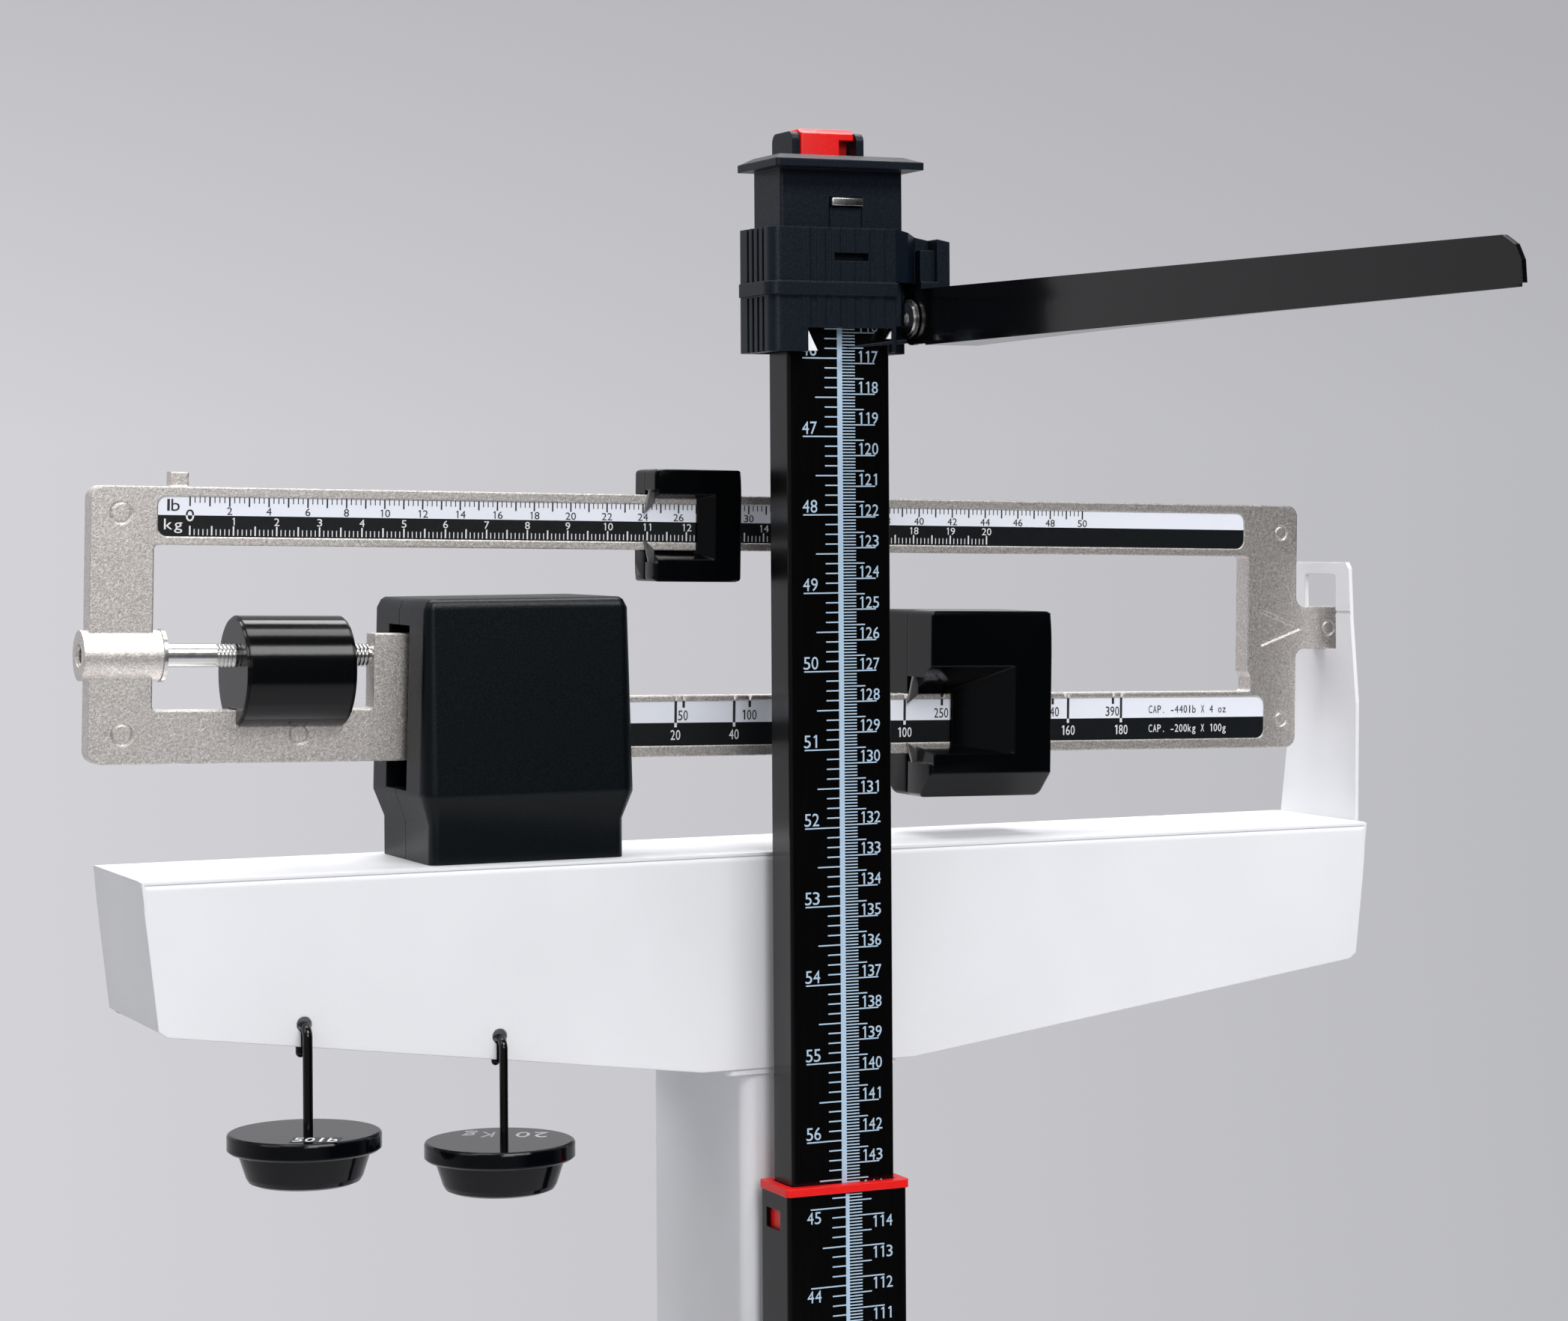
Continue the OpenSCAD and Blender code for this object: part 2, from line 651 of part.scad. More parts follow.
// minor poise, local x from its pointer edge
module minor_body() {
  difference() {
    xz(-minor_t / 2, minor_t / 2) rect(mn_x, mn_x + minor_w, up_bot - 10.4, b_top + 8.5, 1.6);
    xz(-beam_t / 2 - gap, beam_t / 2 + gap) rect(mn_x - 1, mn_x + minor_w + 1,
      up_bot - gap, b_top + gap, 0);
    box(mn_x - 1, mn_x + 1.4, -minor_t / 2 - 1, 0, up_bot - 4, b_top + 1.5);
    hull() {
      box(mn_x - 1, mn_x + 21.9, -minor_t / 2 - 0.1, -minor_t / 2, up_bot - 3, b_top + 0.2);
      box(mn_x - 1, mn_x + 11.3, -beam_t / 2 - gap, 0, up_bot + 1.2, b_top - 2.7);
    }
  }
}
module minor_front() color([0.06, 0.06, 0.07]) framed() {
  at_beam() intersection() {
    minor_body();
    box(mn_x - 2, mn_x + minor_w + 2, -minor_t, -0.05, up_bot - 20, b_top + 20);
  }
}
module minor_rear() color([0.06, 0.06, 0.07]) framed() {
  at_beam() intersection() {
    minor_body();
    box(mn_x - 2, mn_x + minor_w + 2, 0.05, minor_t, up_bot - 20, b_top + 20);
  }
}
module minor_pointer() color([0.55, 0.56, 0.58]) framed() {
  at_beam() xz(-beam_t / 2 - 1.4, -beam_t / 2 - 0.45) {
    polygon([[mn_x - 2.2, b_top - 6.2], [mn_x - 0.6, b_top + 1.5], [mn_x + 1.4, b_top + 1.5],
      [mn_x + 1.4, b_top - 2.6]]);
    polygon([[mn_x - 2.2, up_bot + 3.4], [mn_x - 0.6, up_bot - 4], [mn_x + 1.4, up_bot - 4],
      [mn_x + 1.4, up_bot]]);
  }
}

module major_body() {
  difference() {
    intersection() {
      xz(-major_t / 2, major_t / 2) rect(mj_x, mj_x + major_w, -42.2, 21.6, 2);
      yz(mj_x - 1, mj_x + major_w + 1) polygon([[-major_t / 2, -33.8], [-major_t / 2 + 8.6, -42.2],
        [major_t / 2 - 8.6, -42.2], [major_t / 2, -33.8], [major_t / 2, 20.4], [major_t / 2 - 1.2, 21.6],
        [-major_t / 2 + 1.2, 21.6], [-major_t / 2, 20.4]]);
    }
    xz(-beam_t / 2 - gap, beam_t / 2 + gap) rect(mj_x - 1, mj_x + major_w + 1,
      b_bot - gap, low_top + gap, 0);
    box(mj_x - 1, mj_x + 1.4, -major_t / 2 - 1, 0, b_bot - 3, low_top + 6);
    hull() {
      box(mj_x - 1, mj_x + 32.3, -major_t / 2 - 0.1, -major_t / 2, -27, 2.7);
      box(mj_x - 1, mj_x + 8.8, -beam_t / 2 - gap, 0, -24.4, -8.2);
    }
  }
}
module major_front() color([0.05, 0.05, 0.06]) framed() {
  at_beam() intersection() {
    major_body();
    box(mj_x - 2, mj_x + major_w + 2, -major_t, -0.05, -60, 40);
  }
}
module major_rear() color([0.05, 0.05, 0.06]) framed() {
  at_beam() intersection() {
    major_body();
    box(mj_x - 2, mj_x + major_w + 2, 0.05, major_t, -60, 40);
  }
}
module major_pointer() color([0.5, 0.51, 0.53]) framed() {
  at_beam() xz(-beam_t / 2 - 1.6, -beam_t / 2 - 0.45) {
    polygon([[mj_x - 2.4, low_top - 3], [mj_x - 0.6, low_top + 6], [mj_x + 1.4, low_top + 6],
      [mj_x + 1.4, low_top]]);
    polygon([[mj_x - 2.4, b_bot + 3.6], [mj_x - 0.6, b_bot - 3], [mj_x + 1.4, b_bot - 3],
      [mj_x + 1.4, b_bot + 1]]);
  }
}

module inner_rod() color([0.04, 0.04, 0.05]) framed() {
  tube(inner_w, inner_d, rod_wall, rod_y, in_bot, cap_z, 1);
}
module top_cap() color([0.12, 0.13, 0.14]) framed() {
  difference() {
    union() {
      xy(blk_z, cap_z + 0.5) rect(-outer_w / 2 - 0.5, outer_w / 2 + 0.5,
        out_y - outer_d / 2, out_y + outer_d / 2, 0.8);
      xy(cap_z, cap_z + 2.4) rect(-sx - 4.1, sx + 4.1, -73.8, hy0 - gap, 1);
      hull() {
        xy(cap_z + 2.3, cap_z + 2.4) rect(-sx - 3.9, sx + 3.9, -73.6, hy0 - gap - 0.2, 1);
        xy(cap_z + 4.2, cap_z + 4.4) rect(-sx - 0.1, sx + 0.1, -67.4, out_r - 0.6, 1);
      }
      for (s = [-1, 1]) {
        yz(btn_x + s * 11.5 - 1.3, btn_x + s * 11.5 + 1.3) rect(-60.5, out_r + 0.5,
          cap_z + 1, bz + 176.2, 3);
      }
    }
    xy(blk_z - 1, cap_z - 4) rect(-inner_w / 2, inner_w / 2, rod_y - inner_d / 2,
      rod_y + inner_d / 2, 0.8);
    box(-inner_w / 2, inner_w / 2, rod_y - inner_d / 2, rod_y + inner_d / 2, blk_z + 20, cap_z);
    box(btn_x - 10, btn_x + 10, -60.4, out_r - 0.6, cap_z - 2, cap_z + 12);
    box(-4.6, 7.3, -68, -62, bz + 151.2, bz + 154.6);
    for (x = [-4.6, 6.9]) {
      box(x, x + 0.4, -68, out_y - outer_d / 2 + 0.7, sl_hi - 3, bz + 152);
    }
  }
}
module red_button() color([0.85, 0.04, 0.05]) framed() {
  difference() {
    yz(btn_x - 9.6, btn_x + 9.6) polygon([[-59.9, cap_z + 4.6], [-59.9, bz + 175.6], [-57.6, bz + 177.2],
      [out_r - 3.6, bz + 177.2], [out_r - 1.2, bz + 174.6], [out_r - 1.2, cap_z + 4.6]]);
    box(btn_x + 4.2, btn_x + 11, -61, -54, cap_z, bz + 173.6);
  }
  box(btn_x - 4, btn_x + 4, -58, rod_y + inner_d / 2 - rod_wall - gap, cap_z + 1, cap_z + 5);
}
module latch_bar() color([0.75, 0.75, 0.77]) framed() {
  box(-4.2, 6.9, -68.2, -66.4, bz + 151.6, bz + 154.2);
  box(-4.2, 6.9, -66.5, -64.2, bz + 151.6, bz + 154.2);
}

module sleeve_rear() {
  polygon([[sx, slr], [13, slr], [13, slr + 1.6], [sx + 4.7, slr + 1.6], [sx + 4.7, -57], [sx, -57]]);
}
module sleeve_left() {
  difference() {
    union() {
      rect(-sx - 4.7, 0, -70.3, slr + 1.6, 3.4);
      rect(-6, 17.5, -70.3, -67.2, 0);
    }
    rect(-sx, 30, -67.9, slr, 0);
    rect(-13, 30, -60, slr + 4.6, 0);
    rect(-8, 1, -68, slr + 4.6, 0);
  }
}
module sleeve_right_top() {
  polygon([[15, -70.3], [17.5, -70.3], [sx + 0.5, -68.6], [sx + 6, -62.5], [sx + 10.7, -62.5],
    [sx + 10.7, -69.5], [sx + 15.2, -69.5], [sx + 15.2, slr - 3.9], [sx + 4.7, slr - 3.9],
    [sx + 4.7, slr + 1.6], [13, slr + 1.6], [13, slr], [sx, slr], [sx, -66.5], [sx - 1.4, -67.9],
    [15, -67.9]]);
}
module sleeve() color([0.13, 0.14, 0.15]) framed() {
  difference() {
    union() {
      xy(sl_lo, sl_hi) sleeve_left();
      for (k = [0 : 5]) {
        box(5.3 * k - 16.2, 5.3 * k - 13.15, -70.65, -70, bz + 112, sl_hi - 0.3);
      }
      intersection() {
        xy(bz + 127, sl_hi) sleeve_right_top();
        xz(-80, -30) polygon([[10, bz + 126], [sx + 18, bz + 126], [sx + 18, sl_hi - 4.4],
          [sx + 14.3, sl_hi - 3.6],
          [17.5, sl_hi], [10, sl_hi]]);
      }
      xy(bz + 127, bz + 138) rect(sx + 5.7, sx + 11.1, -67, -60, 0);
      xy(sl_lo, bz + 127.5) sleeve_rear();
      xy(bz + 108.6, bz + 127.5) rect(sx + 4.7, sx + 15.2, -69.5, slr - 3.9, 0);
      xy(bz + 108.6, bz + 127.5) rect(sx, sx + 5.7, -57, slr - 3.9, 0);
      rod_x(arm_x + arm_t + 0.1, sx + 5.7, arm_y + 0.1, arm_z, 4.6);
      difference() {
        xy(bz + 122.4, bz + 126.7) union() {
          rect(-sx - 6.3, 0, -71.6, slr - 0.4, 4);
          rect(-6, 17.8, -71.6, -68, 0);
        }
        xy(bz + 120, bz + 130) rect(-sx - 4.1, 17.2, -69.8, slr + 4.6, 2);
        xy(bz + 120, bz + 130) rect(-10, 10, -60, slr + 4.6, 0);
      }
    }
    box(-14, 16, -72, -67, sl_lo - 1, bz + 112);
    box(-4.6, 7.5, -72, -67, bz + 133.6, bz + 136.2);
    for (y = [-64, -60, -56, -52]) {
      box(-sx - 5.1, -sx - 3.9, y - 0.8, y + 0.8, sl_lo - 1, bz + 122);
      box(-sx - 5.1, -sx - 3.9, y - 0.8, y + 0.8, bz + 127, sl_hi + 1);
    }
    rod_x(arm_x, sx + 13.7, arm_y, arm_z, 2.5);
  }
  xz(-70, -67.9) polygon([[0.5, bz + 105.5], [16.5, bz + 106.8], [sx - 0.8, bz + 107.2],
    [sx - 0.8, bz + 108.6], [16.5, bz + 108.1], [1.4, bz + 106.1]]);
}
module sleeve_index() color([0.95, 0.95, 0.95]) framed() {
  xz(-69.6, -68.6) {
    polygon([[-14, sl_lo + 0.2], [-14, sl_lo + 7.4], [-10.4, sl_lo + 0.2]]);
    polygon([[16, bz + 108.6], [16, sl_lo + 6.9], [14.4, bz + 108.6]]);
  }
}
module pivot_screw() color([0.7, 0.71, 0.72]) framed() {
  difference() {
    union() {
      rod_x(arm_x - 1.6, arm_x - 0.5, arm_y, arm_z, 6.3);
      rod_x(arm_x - 2, arm_x - 1.5, arm_y, arm_z, 5.2);
      rod_x(arm_x - 0.6, sx + 13.7, arm_y, arm_z, 2.5);
    }
    translate([arm_x - 3, arm_y, arm_z]) rotate([0, 90, 0]) cylinder(r = 2, h = 2, $fn = 6);
  }
}
module head_arm() color([0.05, 0.05, 0.06]) framed() {
  difference() {
    yz(arm_x, arm_x + arm_t) {
      difference() {
        union() {
          polygon([[arm_y - arm_reach, bz + 107.4], [arm_y - arm_reach + 0.5, bz + 113],
            [arm_y - arm_reach + 3, bz + 117], [arm_y - arm_reach + 8, bz + 119.6],
            [arm_y, bz + 106.9 + arm_h], [arm_y, bz + 106.9]]);
          translate([arm_y, arm_z]) circle(r = 8.6);
        }
        translate([arm_y, arm_z]) circle(r = 2.5 + fit);
      }
    }
  }
  xy(bz + 106.4, bz + 106.4 + arm_t) polygon([[arm_x, arm_y - 9.5], [arm_x + 19, arm_y - 9.5],
    [arm_x + 8, arm_y - 118], [arm_x + 2.2, arm_y - 214], [arm_x + arm_t, arm_y - arm_reach + 20],
    [arm_x, arm_y - arm_reach]]);
}

// the disc hangs under the sheet, so its wire enters in front of its middle
module disc(x, z, r) {
  translate([x, wy + sheet / 2, z]) difference() {
    rotate_extrude($fn = 48) polygon([[0, -15.7], [disc_r - 8.2, -15.7], [disc_r - 6.6, -15],
      [disc_r - 5.8, -13.6], [disc_r - 3.2, -5.7], [disc_r - 0.8, -5.7], [disc_r, -5],
      [disc_r, -0.9], [disc_r - 0.3, -0.3], [disc_r - 0.9, 0], [0, 0]]);
    translate([0, -wire_y - sheet / 2, -8]) cylinder(r = r, h = 9);
  }
}
module bend(y, z, r, a) {
  translate([0, y, z]) rotate([0, -90, 0]) rotate([0, 0, a])
    rotate_extrude(angle = 90, $fn = 32) translate([wire_y, 0]) circle(r = r, $fn = 20);
}
module hook(x, z, zd, r, tail) {
  translate([x, wy, 0]) {
    rod_z(zd - 8, z - wire_y, 0, -wire_y, r);
    bend(0, z - wire_y, r, 270);
    rod_y(-e, 0.8 + e, 0, z, r);
    bend(0.8, z - wire_y, r, 0);
    rod_z(z - tail, z - wire_y, 0, wire_y + 0.8, r);
    translate([0, wire_y + 0.8, z - tail]) sphere(r = r, $fn = 20);
  }
}
module weight_lb_disc() color([0.04, 0.04, 0.05]) framed() {
  disc(w1x, w1z - 33.2, hook_r);
}
module weight_lb_hook() color([0.04, 0.04, 0.05]) framed() {
  hook(w1x, w1z - 0.6, w1z - 33.2, hook_r, 8.6);
}
module weight_kg_disc() color([0.04, 0.04, 0.05]) framed() {
  disc(w2x, w2z - 33, hook_r - 0.2);
}
module weight_kg_hook() color([0.04, 0.04, 0.05]) framed() {
  hook(w2x, w2z - 0.6, w2z - 33, hook_r - 0.2, 7.8);
}

module load_link() color([0.6, 0.6, 0.62]) framed() {
  translate([link_x, by, bz]) difference() {
    union() {
      for (s = [-1, 1]) {
        box(-5, 5, s * 6.4 - 1.2, s * 6.4 + 1.2, -36, 6);
      }
      box(-5, 5, -7.6, 7.6, -37, -33);
      rod_z(-80, -36, 0, 0, 2.5);
      for (s = [-1, 1]) {
        box(-4, 4, s * 6 - 1, s * 6 + 1, -98, -78);
      }
      box(-4, 4, -7, 7, -82, -78);
      rod_y(-7, 7, 0, shelf_z - bz, 2);
    }
    xz(-9, 9) polygon([[0, 0.35], [-3.8, -5.8], [3.8, -5.8]]);
  }
}
module shelf_lever() color([0.6, 0.6, 0.62]) framed() {
  difference() {
    union() {
      box(link_x - 8, shelf_x + 8, by - 4, by + 4, shelf_z - 6, shelf_z + 6);
      rod_y(by - 9.9, by + 9.9, shelf_x, shelf_z, 3);
    }
    rod_y(by - 8, by + 8, link_x, shelf_z, 2 + fit);
    rod_y(by - 8, by + 8, 0, shelf_z, 2 + fit);
  }
}
// two plates and a pin, turned by a round the rod
module clevis(z, s, a) {
  translate([0, by, 0]) rotate([0, 0, a]) {
    for (k = [-1, 1]) {
      box(-4, 4, k * 6 - 1, k * 6 + 1, z - 8 + 4 * s, z + 8 + 4 * s);
    }
    box(-4, 4, -7, 7, z + s * 10 - 2, z + s * 10 + 2);
    rod_y(-7, 7, 0, z, 2);
  }
}
module draft_rod() color([0.6, 0.6, 0.62]) framed() {
  clevis(shelf_z, -1, 0);
  rod_z(long_z + 10, shelf_z - 10, 0, by, 2.5);
  clevis(long_z, 1, 90);
}

module arm_bar(x0, y0, x1, y1, w) {
  l = sqrt((x1 - x0) * (x1 - x0) + (y1 - y0) * (y1 - y0));
  translate([x0, y0]) rotate(atan2(y1 - y0, x1 - x0)) translate([0, -w / 2]) square([l, w]);
}
module long_lever() color([0.3, 0.31, 0.33]) framed() {
  difference() {
    union() {
      xy(long_z - 6, long_z + 6) {
        for (s = [-1, 1]) {
          arm_bar(s * lev_x, lev_front - 8, 0, -70, 9);
        }
        translate([-4, -90]) square([8, 84]);
        translate([-bar_x, join_y - 12]) square([2 * bar_x, 7]);
      }
      for (s = [-1, 1]) {
        rod_x(s * (lev_x + 6) - 12, s * (lev_x + 6) + 12, lev_front, long_z, 4);
        rod_x(s * (lev_x - 6) - 14, s * (lev_x - 6) + 14, lev_front + lev_load, long_z, 4);
      }
      box(-4, 4, join_y - 8, join_y + 7, long_z - 4, long_z + 6);
    }
    rod_x(-5, 5, by, long_z, 2 + fit);
    rod_x(-5, 5, join_y, long_z, 2 + fit);
    box(-5, 5, by - 20, by + 20, long_z + 6, long_z + 9);
  }
}
module lever_loop() color([0.6, 0.6, 0.62]) framed() {
  for (k = [-1, 1]) {
    box(k * 6 - 1, k * 6 + 1, join_y - 4, join_y + 4, short_z - 5, long_z + 5);
  }
  rod_x(-7, 7, join_y, long_z, 2);
  rod_x(-7, 7, join_y, short_z, 2);
}
module short_lever() color([0.3, 0.31, 0.33]) framed() {
  difference() {
    union() {
      xy(short_z - 5, short_z + 5) {
        for (s = [-1, 1]) {
          arm_bar(s * lev_x, short_y + 6, 0, join_y + 22, 8);
        }
        translate([-4, join_y - 6]) square([8, 46]);
      }
      for (s = [-1, 1]) {
        rod_x(s * (lev_x + 6) - 12, s * (lev_x + 6) + 12, short_y, short_z, 4);
        rod_x(s * (lev_x - 26) - 36, s * (lev_x - 26) + 36, short_y - short_load, short_z, 4);
      }
    }
    rod_x(-5, 5, join_y, short_z, 2 + fit);
  }
}
module leg(x, y, z) {
  difference() {
    box(x - 4, x + 4, y - 9, y + 9, z - 3, zplate - 1);
    rod_x(x - 5, x + 5, y, z, 4 + fit);
    box(x - 5, x + 5, y - 4 - fit, y + 4 + fit, z - 5, z);
  }
}
module platform_pan() color([0.93, 0.93, 0.93]) framed() {
  difference() {
    xy(zplate - 26, zplate) rect(-bw - 5, bw + 5, -base_front + 8, pan_y1, 6);
    xy(zplate - 27, zplate - 2) rect(-bw - 3, bw + 3, -base_front + 10, pan_y1 - 2, 4);
  }
  for (s = [-1, 1]) {
    leg(s * leg_x, lev_front + lev_load, long_z);
    leg(s * leg_x, short_y - short_load, short_z);
  }
}
module platform_mat() color([0.08, 0.08, 0.08]) framed() {
  difference() {
    xy(zplate, platform_h) rect(-bw, bw, -base_front + 14, pan_y1 - 5.5, 6);
    for (x = [-bw + 15 : 12 : bw - 10]) {
      box(x - 1, x + 1, -base_front + 22, pan_y1 - 13.5, platform_h - 0.8, platform_h + 1);
    }
  }
}

base_frame();
levelling_feet();
base_cover();
lever_stands();
pillar_base();
pillar_bolts();
pillar();
pillar_top();
beam_housing();
housing_screws();
index_bracket();
bracket_screws();
fulcrum_stand();
cover_front();
cover_rear();
cover_screws();
shelf_stand();
rod_brackets();
outer_tube();
red_collar();
beam();
fulcrum_knife();
load_knife();
strip_upper();
strip_lower();
screw_washer();
balance_screw();
balance_weight();
minor_front();
minor_rear();
minor_pointer();
major_front();
major_rear();
major_pointer();
inner_rod();
top_cap();
red_button();
latch_bar();
sleeve();
sleeve_index();
pivot_screw();
head_arm();
weight_lb_disc();
weight_lb_hook();
weight_kg_disc();
weight_kg_hook();
load_link();
shelf_lever();
draft_rod();
long_lever();
lever_loop();
short_lever();
platform_pan();
platform_mat();
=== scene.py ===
import json
import math
import bmesh
import bpy
from mathutils import Matrix, Vector

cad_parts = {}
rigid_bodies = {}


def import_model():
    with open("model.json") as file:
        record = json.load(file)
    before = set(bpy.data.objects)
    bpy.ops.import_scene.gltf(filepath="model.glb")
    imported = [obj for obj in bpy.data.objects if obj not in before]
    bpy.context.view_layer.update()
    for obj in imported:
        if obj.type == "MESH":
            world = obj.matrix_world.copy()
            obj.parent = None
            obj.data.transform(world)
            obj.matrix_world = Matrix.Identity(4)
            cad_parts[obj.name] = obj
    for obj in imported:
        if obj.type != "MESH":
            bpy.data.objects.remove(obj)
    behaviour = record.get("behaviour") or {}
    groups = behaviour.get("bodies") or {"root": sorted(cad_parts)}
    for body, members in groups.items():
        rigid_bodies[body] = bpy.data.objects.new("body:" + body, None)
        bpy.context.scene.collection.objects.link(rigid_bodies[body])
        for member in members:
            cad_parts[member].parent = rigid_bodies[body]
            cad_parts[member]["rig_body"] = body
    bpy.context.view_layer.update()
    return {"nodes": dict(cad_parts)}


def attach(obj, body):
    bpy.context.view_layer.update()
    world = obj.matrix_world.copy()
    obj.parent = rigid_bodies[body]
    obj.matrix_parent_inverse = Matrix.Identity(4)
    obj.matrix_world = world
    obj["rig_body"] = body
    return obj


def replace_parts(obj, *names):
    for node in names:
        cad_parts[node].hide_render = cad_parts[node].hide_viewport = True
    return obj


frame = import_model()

MM = 0.001

# Places of the scale in millimetres, as the part's source has them. BEAM_TILT is in degrees.
FULCRUM = (-98.0, 189.5, 1408.0)
BEAM_TILT = 1.15
ROD_FACE = 136.5
TUBE_FACE = 133.5
TUBE_TOP = 1240.0
POUND_DISC_TOP = 1269.2
KILO_DISC_TOP = 1261.5


# Shader maths
class Wire:
    """One output of a node. Arithmetic on it adds Math nodes."""

    def __init__(self, shader, socket):
        self.shader = shader
        self.socket = socket

    def math(self, operation, *values):
        return self.shader.node("Math", {"operation": operation}, values)

    def beside(self, key):
        """Another output of the same node."""
        return Wire(self.shader, self.socket.node.outputs[key])

    def __add__(self, other):
        return self.math("ADD", self, other)

    def __sub__(self, other):
        return self.math("SUBTRACT", self, other)

    def __rsub__(self, other):
        return self.math("SUBTRACT", other, self)

    def __mul__(self, other):
        return self.math("MULTIPLY", self, other)

    def __gt__(self, other):
        return self.math("GREATER_THAN", self, other)

    def __lt__(self, other):
        return self.math("LESS_THAN", self, other)

    __radd__ = __add__
    __rmul__ = __mul__


class Shader:
    """A material, or the world, whose nodes are all made by node()."""

    def __init__(self, owner):
        owner.use_nodes = True
        self.owner = owner
        self.tree = owner.node_tree
        self.tree.nodes.clear()

    def node(self, kind, settings=None, sockets=(), out=0):
        made = self.tree.nodes.new("ShaderNode" + kind)
        for key, value in (settings or {}).items():
            setattr(made, key, value)
        items = sockets.items() if isinstance(sockets, dict) else enumerate(sockets)
        for key, value in items:
            if isinstance(value, Wire):
                self.tree.links.new(value.socket, made.inputs[key])
            else:
                made.inputs[key].default_value = value
        return Wire(self, made.outputs[out]) if made.outputs else made

    def place(self):
        """Where a point lies in its own object, so that a finish moves with its piece."""
        return self.node("TexCoord", out=3)

    def noise(self, scale, detail=2.0, rough=0.5, at=None):
        sockets = {"Vector": at or self.place(), "Scale": scale, "Detail": detail,
                   "Roughness": rough}
        return self.node("TexNoise", {}, sockets)

    def clamp(self, value, low, high, to_low=0.0, to_high=1.0):
        return self.node("MapRange", {"clamp": True}, {0: value, 1: low, 2: high,
                                                       3: to_low, 4: to_high})

    def mix(self, factor, a, b):
        made = self.tree.nodes.new("ShaderNodeMix")
        made.data_type = "RGBA"
        for index, value in ((0, factor), (6, a), (7, b)):
            if isinstance(value, Wire):
                self.tree.links.new(value.socket, made.inputs[index])
            else:
                made.inputs[index].default_value = value
        return Wire(self, made.outputs[2])

    def bump(self, height, distance, strength=1.0, edge=0.0):
        """Relief in metres; edge is the radius that sharp edges are shaded with."""
        sockets = {"Height": height, "Distance": distance, "Strength": strength}
        if edge:
            sockets["Normal"] = self.node("Bevel", {"samples": 4}, {"Radius": edge})
        return self.node("Bump", {}, sockets)

    def surface(self, **sockets):
        named = {key.replace("_", " "): value for key, value in sockets.items()}
        bsdf = self.node("BsdfPrincipled", {}, named)
        self.node("OutputMaterial", {}, {"Surface": bsdf})
        return self.owner


def shader(name):
    return Shader(bpy.data.materials.new(name))


def rgb(red, green, blue):
    return (red, green, blue, 1.0)


def shade(colour, times, plus=0.0):
    """The same colour made lighter or darker."""
    return tuple(min(1.0, c * times + plus) for c in colour[:3]) + (1.0,)


# Finishes
def powder_coat(name, colour, edge=0.0006):
    s = shader(name)
    peel = s.noise(700.0, 2.0)
    dust = s.noise(9.0, 3.0)
    tone = s.mix(s.clamp(dust, 0.35, 0.65), shade(colour, 0.95), shade(colour, 1.03))
    return s.surface(Base_Color=tone, Roughness=0.34 + 0.12 * peel, IOR=1.5,
                     Normal=s.bump(peel, 0.00006, 0.5, edge))


def moulded(name, colour, grain, depth, rough, edge, shine=0.5):
    """Moulded plastic with a fine grain and pale flecks."""
    s = shader(name)
    fine = s.noise(grain, 2.0)
    broad = s.noise(14.0, 2.0)
    flecks = s.clamp(fine, 0.6, 0.75)
    pale = s.clamp(broad, 0.3, 0.7, 0.0, 0.35) + flecks * 0.5
    tone = s.mix(pale, colour, shade(colour, 1.5))
    return s.surface(Base_Color=tone, Roughness=rough - 0.1 + 0.2 * fine, IOR=1.48,
                     Specular_IOR_Level=shine, Normal=s.bump(fine, depth, 0.7, edge))


def cast_metal(name):
    """The bright casting of the beam: grains, small flakes and low lumps."""
    s = shader(name)
    at = s.place()
    grain = s.noise(2300.0, 3.0, 0.7, at)
    flake = s.node("TexVoronoi", {"feature": "F1"}, {"Vector": at, "Scale": 2400.0}, out=1)
    level = s.node("SeparateColor", {}, [flake])
    lump = s.noise(900.0, 2.0, 0.5, at)
    dark, mid, bright = rgb(0.52, 0.475, 0.44), rgb(0.82, 0.775, 0.74), rgb(1.0, 0.98, 0.96)
    tone = s.mix(s.clamp(grain, 0.36, 0.6), dark, mid)
    tone = s.mix(s.clamp(level, 0.5, 1.0, 0.0, 0.8), tone, bright)
    height = grain * 0.6 + lump * 0.6
    return s.surface(Base_Color=tone, Metallic=1.0, Roughness=0.34 + 0.2 * lump,
                     Normal=s.bump(height, 0.00012, 0.8, 0.0008))


def plated(name, colour, rough, edge=0.0003):
    s = shader(name)
    scratch = s.noise(600.0, 3.0)
    return s.surface(Base_Color=s.mix(scratch, shade(colour, 0.85), colour), Metallic=1.0,
                     Roughness=rough - 0.06 + 0.14 * scratch,
                     Normal=s.bump(scratch, 0.00002, 0.5, edge))


def anodised(name, colour, rough, edge, shine):
    """Drawn tube, with faint lines along its length."""
    s = shader(name)
    at = s.node("Mapping", {}, {"Vector": s.place(), "Scale": (1.0, 1.0, 0.02)})
    draw = s.noise(1600.0, 2.0, 0.5, at)
    cloud = s.noise(22.0, 2.0)
    tone = s.mix(s.clamp(cloud, 0.3, 0.7, 0.0, 0.5), colour, shade(colour, 1.6, 0.0005))
    return s.surface(Base_Color=tone, Roughness=rough - 0.05 + 0.1 * draw, IOR=1.55,
                     Specular_IOR_Level=shine, Normal=s.bump(draw, 0.000015, 0.4, edge))


